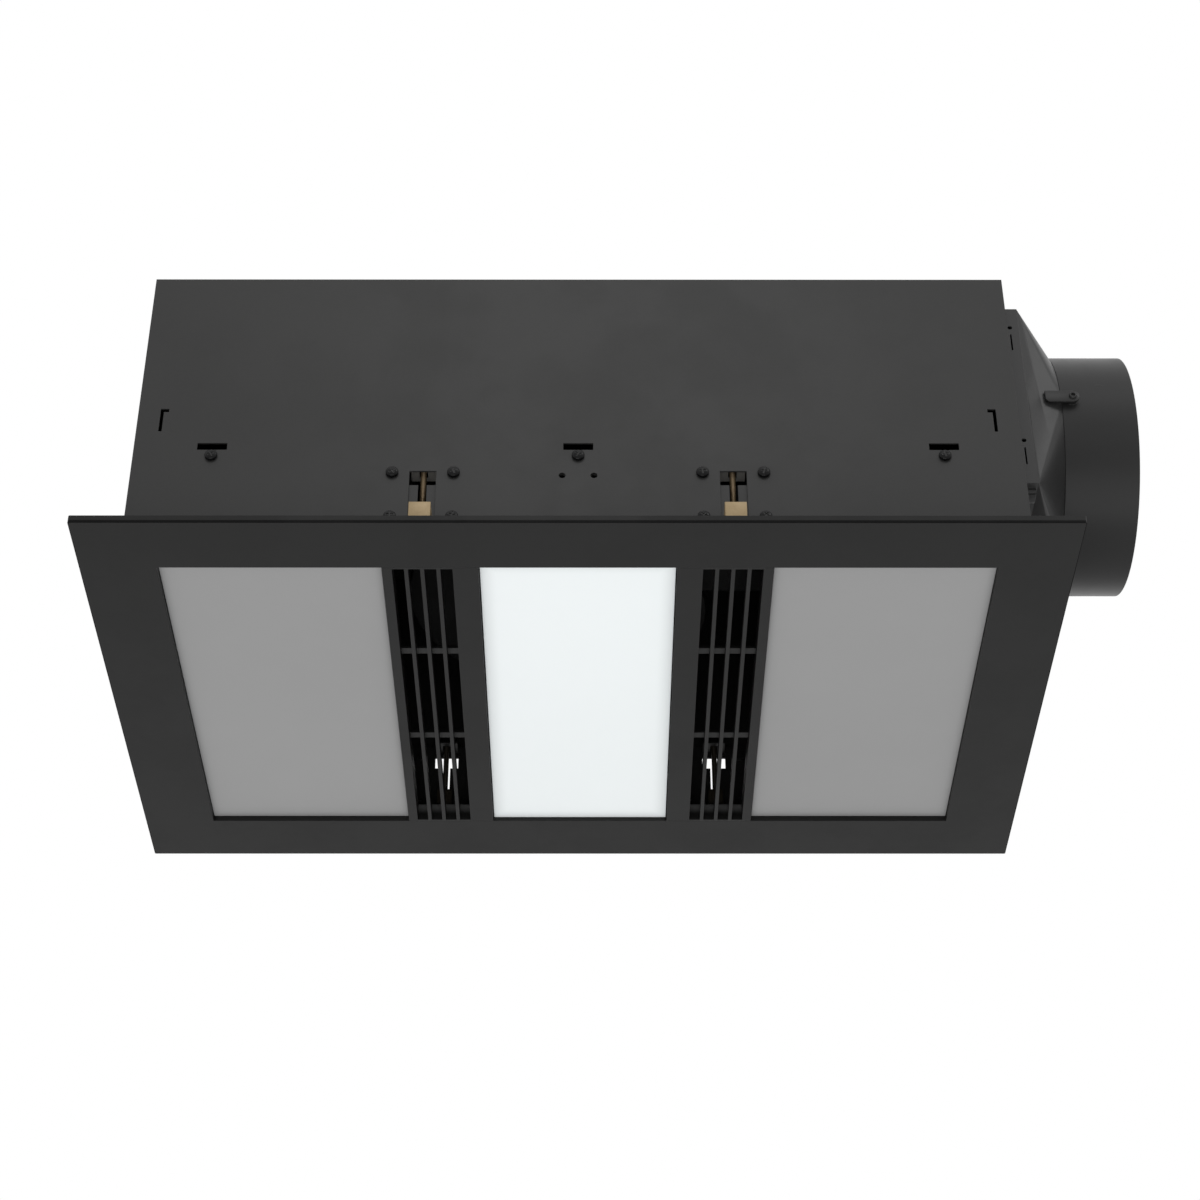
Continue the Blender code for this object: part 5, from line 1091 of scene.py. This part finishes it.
    def tab(self, bm: Shape) -> None:
        """Add the tab that laps the hood, its stand-off and its screw.

        Args:
            bm: Mesh that receives them.
        """
        left, middle, half = self.tab_x[0], self.tab_level, self.tab_half
        round_x = self.tab_x[1] - half
        outline = [(left, middle + half), (left, middle - half + self.tab_cut),
                   (left + self.tab_cut, middle - half)]
        for step in range(self.tab_steps + 1):
            angle = math.pi * (step / self.tab_steps - 0.5)
            outline.append((round_x + half * math.cos(angle), middle + half * math.sin(angle)))
        plate = bmesh.new()
        face = plate.faces.new([plate.verts.new((x, self.tab_y[0], z)) for x, z in outline])
        grown = bmesh.ops.extrude_face_region(plate, geom=[face])
        moved = [item for item in grown["geom"] if isinstance(item, bmesh.types.BMVert)]
        bmesh.ops.translate(plate, vec=(0, self.tab_y[1] - self.tab_y[0], 0), verts=moved)
        bmesh.ops.recalc_face_normals(plate, faces=plate.faces)
        soften(plate, plate.edges, self.tab_edge)
        pour(plate, bm)
        start = self.radius - self.centre[1] - self.sheet / 2
        seat = -self.tab_y[0]
        top, floor = seat + self.head_height, seat + self.drive_floor
        screw = [(0.0, seat), (self.head_radius, seat), (self.head_radius, top - self.head_edge),
                 (self.head_radius - self.head_edge, top), (self.drive_radius, top),
                 (self.drive_radius, floor), (0.0, floor)]
        for profile in (rod(half - self.sheet, start, -self.tab_y[1]), screw):
            pour(lathe(profile, self.tab_sides, turned((round_x, 0.0, middle), QUARTER_TURN, "X")), bm)

    def build(self) -> None:
        """Model the hood and the collar."""
        self.hood()
        self.collar()


@dataclass(frozen=True)
class Gland:
    """Cable gland in the left-hand wall: hexagon, fluted cap, rubber seal, neck and inner nut."""

    axis_y: float = 84.0 * MM
    axis_z: float = 132.0 * MM
    wall_x: float = -262.3 * MM
    hex_radius: float = 13.0 * MM
    hex_height: float = 6.0 * MM
    hex_edge: float = 0.5 * MM
    hex_lap: float = 0.2 * MM
    cap_radius: float = 10.5 * MM
    cap_height: float = 10.0 * MM
    cap_edge: float = 0.4 * MM
    crest: float = 3.2 * MM
    crest_steps: int = 6
    nose_radius: float = 7.35 * MM
    nose_wall: float = 0.8 * MM
    nose_depth: float = 2.0 * MM
    bore: float = 4.0 * MM
    bore_sides: int = 40
    ring_sides: int = 48
    neck_radius: float = 7.9 * MM
    neck_wall: float = 0.6 * MM
    neck_past: Span = (0.3 * MM, 1.0 * MM)
    nut_x: float = -259.0 * MM
    nut_height: float = 5.0 * MM
    flutes: int = 12
    flute_depth: float = 0.6 * MM

    def hexagon(self, low: float, high: float, radius: float) -> Shape:
        """Model a six-sided nut with softened edges and a round bore.

        Args:
            low: Start along the outward axis.
            high: End along the outward axis.
            radius: Radius to the corners.

        Returns:
            Its shape.
        """
        part = lathe(rod(radius, low, high), steps=6)
        bmesh.ops.dissolve_limit(part, angle_limit=math.radians(1.0), verts=part.verts, edges=part.edges)
        soften(part, part.edges, self.hex_edge)
        reach = 1 * MM
        bore = rod(self.neck_radius - self.hex_lap, low - reach, high + reach)
        return carve(part, lathe(bore, self.bore_sides))

    def cap(self) -> Shape:
        """Model the fluted cap with its rounded nose.

        Returns:
            Its shape.
        """
        low, high = self.hex_height, self.hex_height + self.cap_height
        shoulder = high - self.crest
        profile = [(self.neck_radius, low), (self.cap_radius - self.cap_edge, low),
                   (self.cap_radius, low + self.cap_edge), (self.cap_radius, shoulder)]
        tip = self.nose_radius - self.nose_wall
        for step in range(1, self.crest_steps + 1):
            angle = step / self.crest_steps * QUARTER_TURN
            profile.append((tip + (self.cap_radius - tip) * math.cos(angle),
                            shoulder + (high - shoulder) * math.sin(angle)))
        inner = tip - self.cap_edge
        back = high - self.nose_depth
        profile += [(inner, high), (inner, back), (self.neck_radius, back)]
        part = lathe(profile, 8 * self.flutes, closed=True)
        near = 0.1 * MM
        for vert in part.verts:
            radius = math.hypot(vert.co.x, vert.co.y)
            if radius > self.cap_radius - near and low < vert.co.z <= shoulder + near:
                turn = math.atan2(vert.co.y, vert.co.x) * self.flutes
                share = 1 - self.flute_depth / radius * max(0.0, math.cos(turn))
                vert.co.x *= share
                vert.co.y *= share
        return part

    def build(self) -> None:
        """Model the gland and its seal."""
        inward = self.wall_x - self.nut_x
        wall = self.bore + self.neck_wall
        start = inward - self.nut_height - self.neck_past[0]
        end = self.hex_height + self.neck_past[1]
        neck = [(wall, start), (self.neck_radius, start), (self.neck_radius, end), (wall, end)]
        low, high = self.hex_height, self.hex_height + self.cap_height - self.neck_wall
        rim, lip = self.nose_radius - self.hex_edge - self.nose_wall, self.nose_wall
        rubber = [(self.bore, low), (rim, low), (rim, high), (self.bore + lip, high), (self.bore, high - lip)]
        made = self.hexagon(0.0, self.hex_height, self.hex_radius)
        nut = self.hexagon(inward - self.nut_height, inward, self.cap_radius)
        for part in (self.cap(), nut, lathe(neck, self.ring_sides, closed=True)):
            pour(part, made)
        seal = lathe(rubber, self.ring_sides, closed=True)
        outward = turned((self.wall_x, self.axis_y, self.axis_z), -QUARTER_TURN, "Y")
        for name, part, finish in (("dressed", made, Finishes.FASCIA), ("seal", seal, Finishes.SEAL)):
            bmesh.ops.transform(part, matrix=outward, verts=part.verts)
            new_piece(f"cable_gland_{name}", part, Body.HOUSING.value, finish, smooth=30.0,
                      replaces=("cable_gland",))


@dataclass(frozen=True)
class Studio:
    """Camera, soft light, white surroundings and a pale floor far below the hanging heater."""

    eye: Point = (0.00985, -1.33456, -0.90643)
    pitch: float = 36.314
    yaw: float = -0.141
    roll: float = -0.066
    lens: float = 77.84
    sensor: float = 36.0
    clip: Span = (0.05, 60.0)
    floor_level: float = -2.4
    floor_half: float = 12.0
    floor_colour: Colour = (0.90, 0.90, 0.90)
    floor_roughness: float = 0.8
    ambient: float = 0.78
    aim: Point = (0.0, 0.0, 0.08)
    lamps: tuple[tuple[str, Sequence[float], float, float], ...] = (
        ("front light", (0.02, -2.0, 1.75), 0.9, 6.5),
        ("side light", (1.4, -1.4, 1.56), 0.6, 4.5),
        ("low light", (-0.2, -1.2, -2.0), 2.2, 26.0),
    )

    def camera(self) -> None:
        """Set the camera below the front, as in the photograph."""
        data = bpy.data.cameras.new("camera")
        data.lens, data.sensor_width = self.lens, self.sensor
        data.clip_start, data.clip_end = self.clip
        camera = new_object("camera", data)
        place = Matrix.Translation(Vector(self.eye))
        for angle, axis in ((self.yaw, "Z"), (90.0 + self.pitch, "X"), (self.roll, "Z")):
            place = place @ Matrix.Rotation(math.radians(angle), 4, axis)
        camera.matrix_world = place
        bpy.context.scene.camera = camera

    def world(self) -> None:
        """Give white surroundings to look at, and softer light from them."""
        world = bpy.data.worlds.new("studio")
        bpy.context.scene.world = world
        world.use_nodes = True
        world.node_tree.nodes.clear()
        graph = Graph(world.node_tree)
        path = graph.add("LightPath").outputs
        seen = graph.maths("MAXIMUM", path["Is Camera Ray"], path["Is Transmission Ray"])
        seen = graph.maths("MAXIMUM", seen, path["Is Glossy Ray"])
        soft, white = (graph.add("Background", {"Color": (1.0, 1.0, 1.0, 1.0), "Strength": strength})
                       for strength in (self.ambient, 1.0))
        both = graph.add("MixShader", {0: seen, 1: soft.outputs[0], 2: white.outputs[0]})
        graph.add("OutputWorld", {"Surface": both.outputs[0]})

    def light(self) -> None:
        """Add soft square lamps that face the heater, each with its name, place, side and watts."""
        for name, place, size, power in self.lamps:
            data = bpy.data.lights.new(name, "AREA")
            data.shape, data.size, data.energy = "SQUARE", size, power
            lamp = new_object(name, data)
            lamp.location = place
            lamp.rotation_euler = (Vector(self.aim) - Vector(place)).to_track_quat("-Z", "Y").to_euler()

    def floor(self) -> None:
        """Lay a pale floor, far enough down to leave the camera room."""
        made = bmesh.new()
        bmesh.ops.create_grid(made, x_segments=1, y_segments=1, size=self.floor_half)
        bmesh.ops.translate(made, vec=(0, 0, self.floor_level), verts=made.verts)
        mesh = settled(made, "floor")
        material = bpy.data.materials.new("pale floor")
        material.use_nodes = True
        shader = material.node_tree.nodes["Principled BSDF"]
        shader.inputs["Base Color"].default_value = (*self.floor_colour, 1.0)
        shader.inputs["Roughness"].default_value = self.floor_roughness
        mesh.materials.append(material)
        new_object("floor", mesh)

    def build(self) -> None:
        """Set up the whole studio."""
        self.camera()
        self.world()
        self.floor()
        self.light()
        bpy.context.scene.view_settings.view_transform = "Standard"


def main() -> None:
    """Dress the packed heater and light it."""
    logging.basicConfig(level=logging.INFO, format="%(message)s")
    Studio().build()
    dress_nodes()
    Fasteners().build()
    LipBands().build()
    Duct().build()
    Gland().build()
    corners = (("front_left", -1, -1), ("front_right", 1, -1), ("back_left", -1, 1), ("back_right", 1, 1))
    for corner, end, side in corners:
        CeilingClamp(corner, end, side).build()


if __name__ == "__main__":
    main()
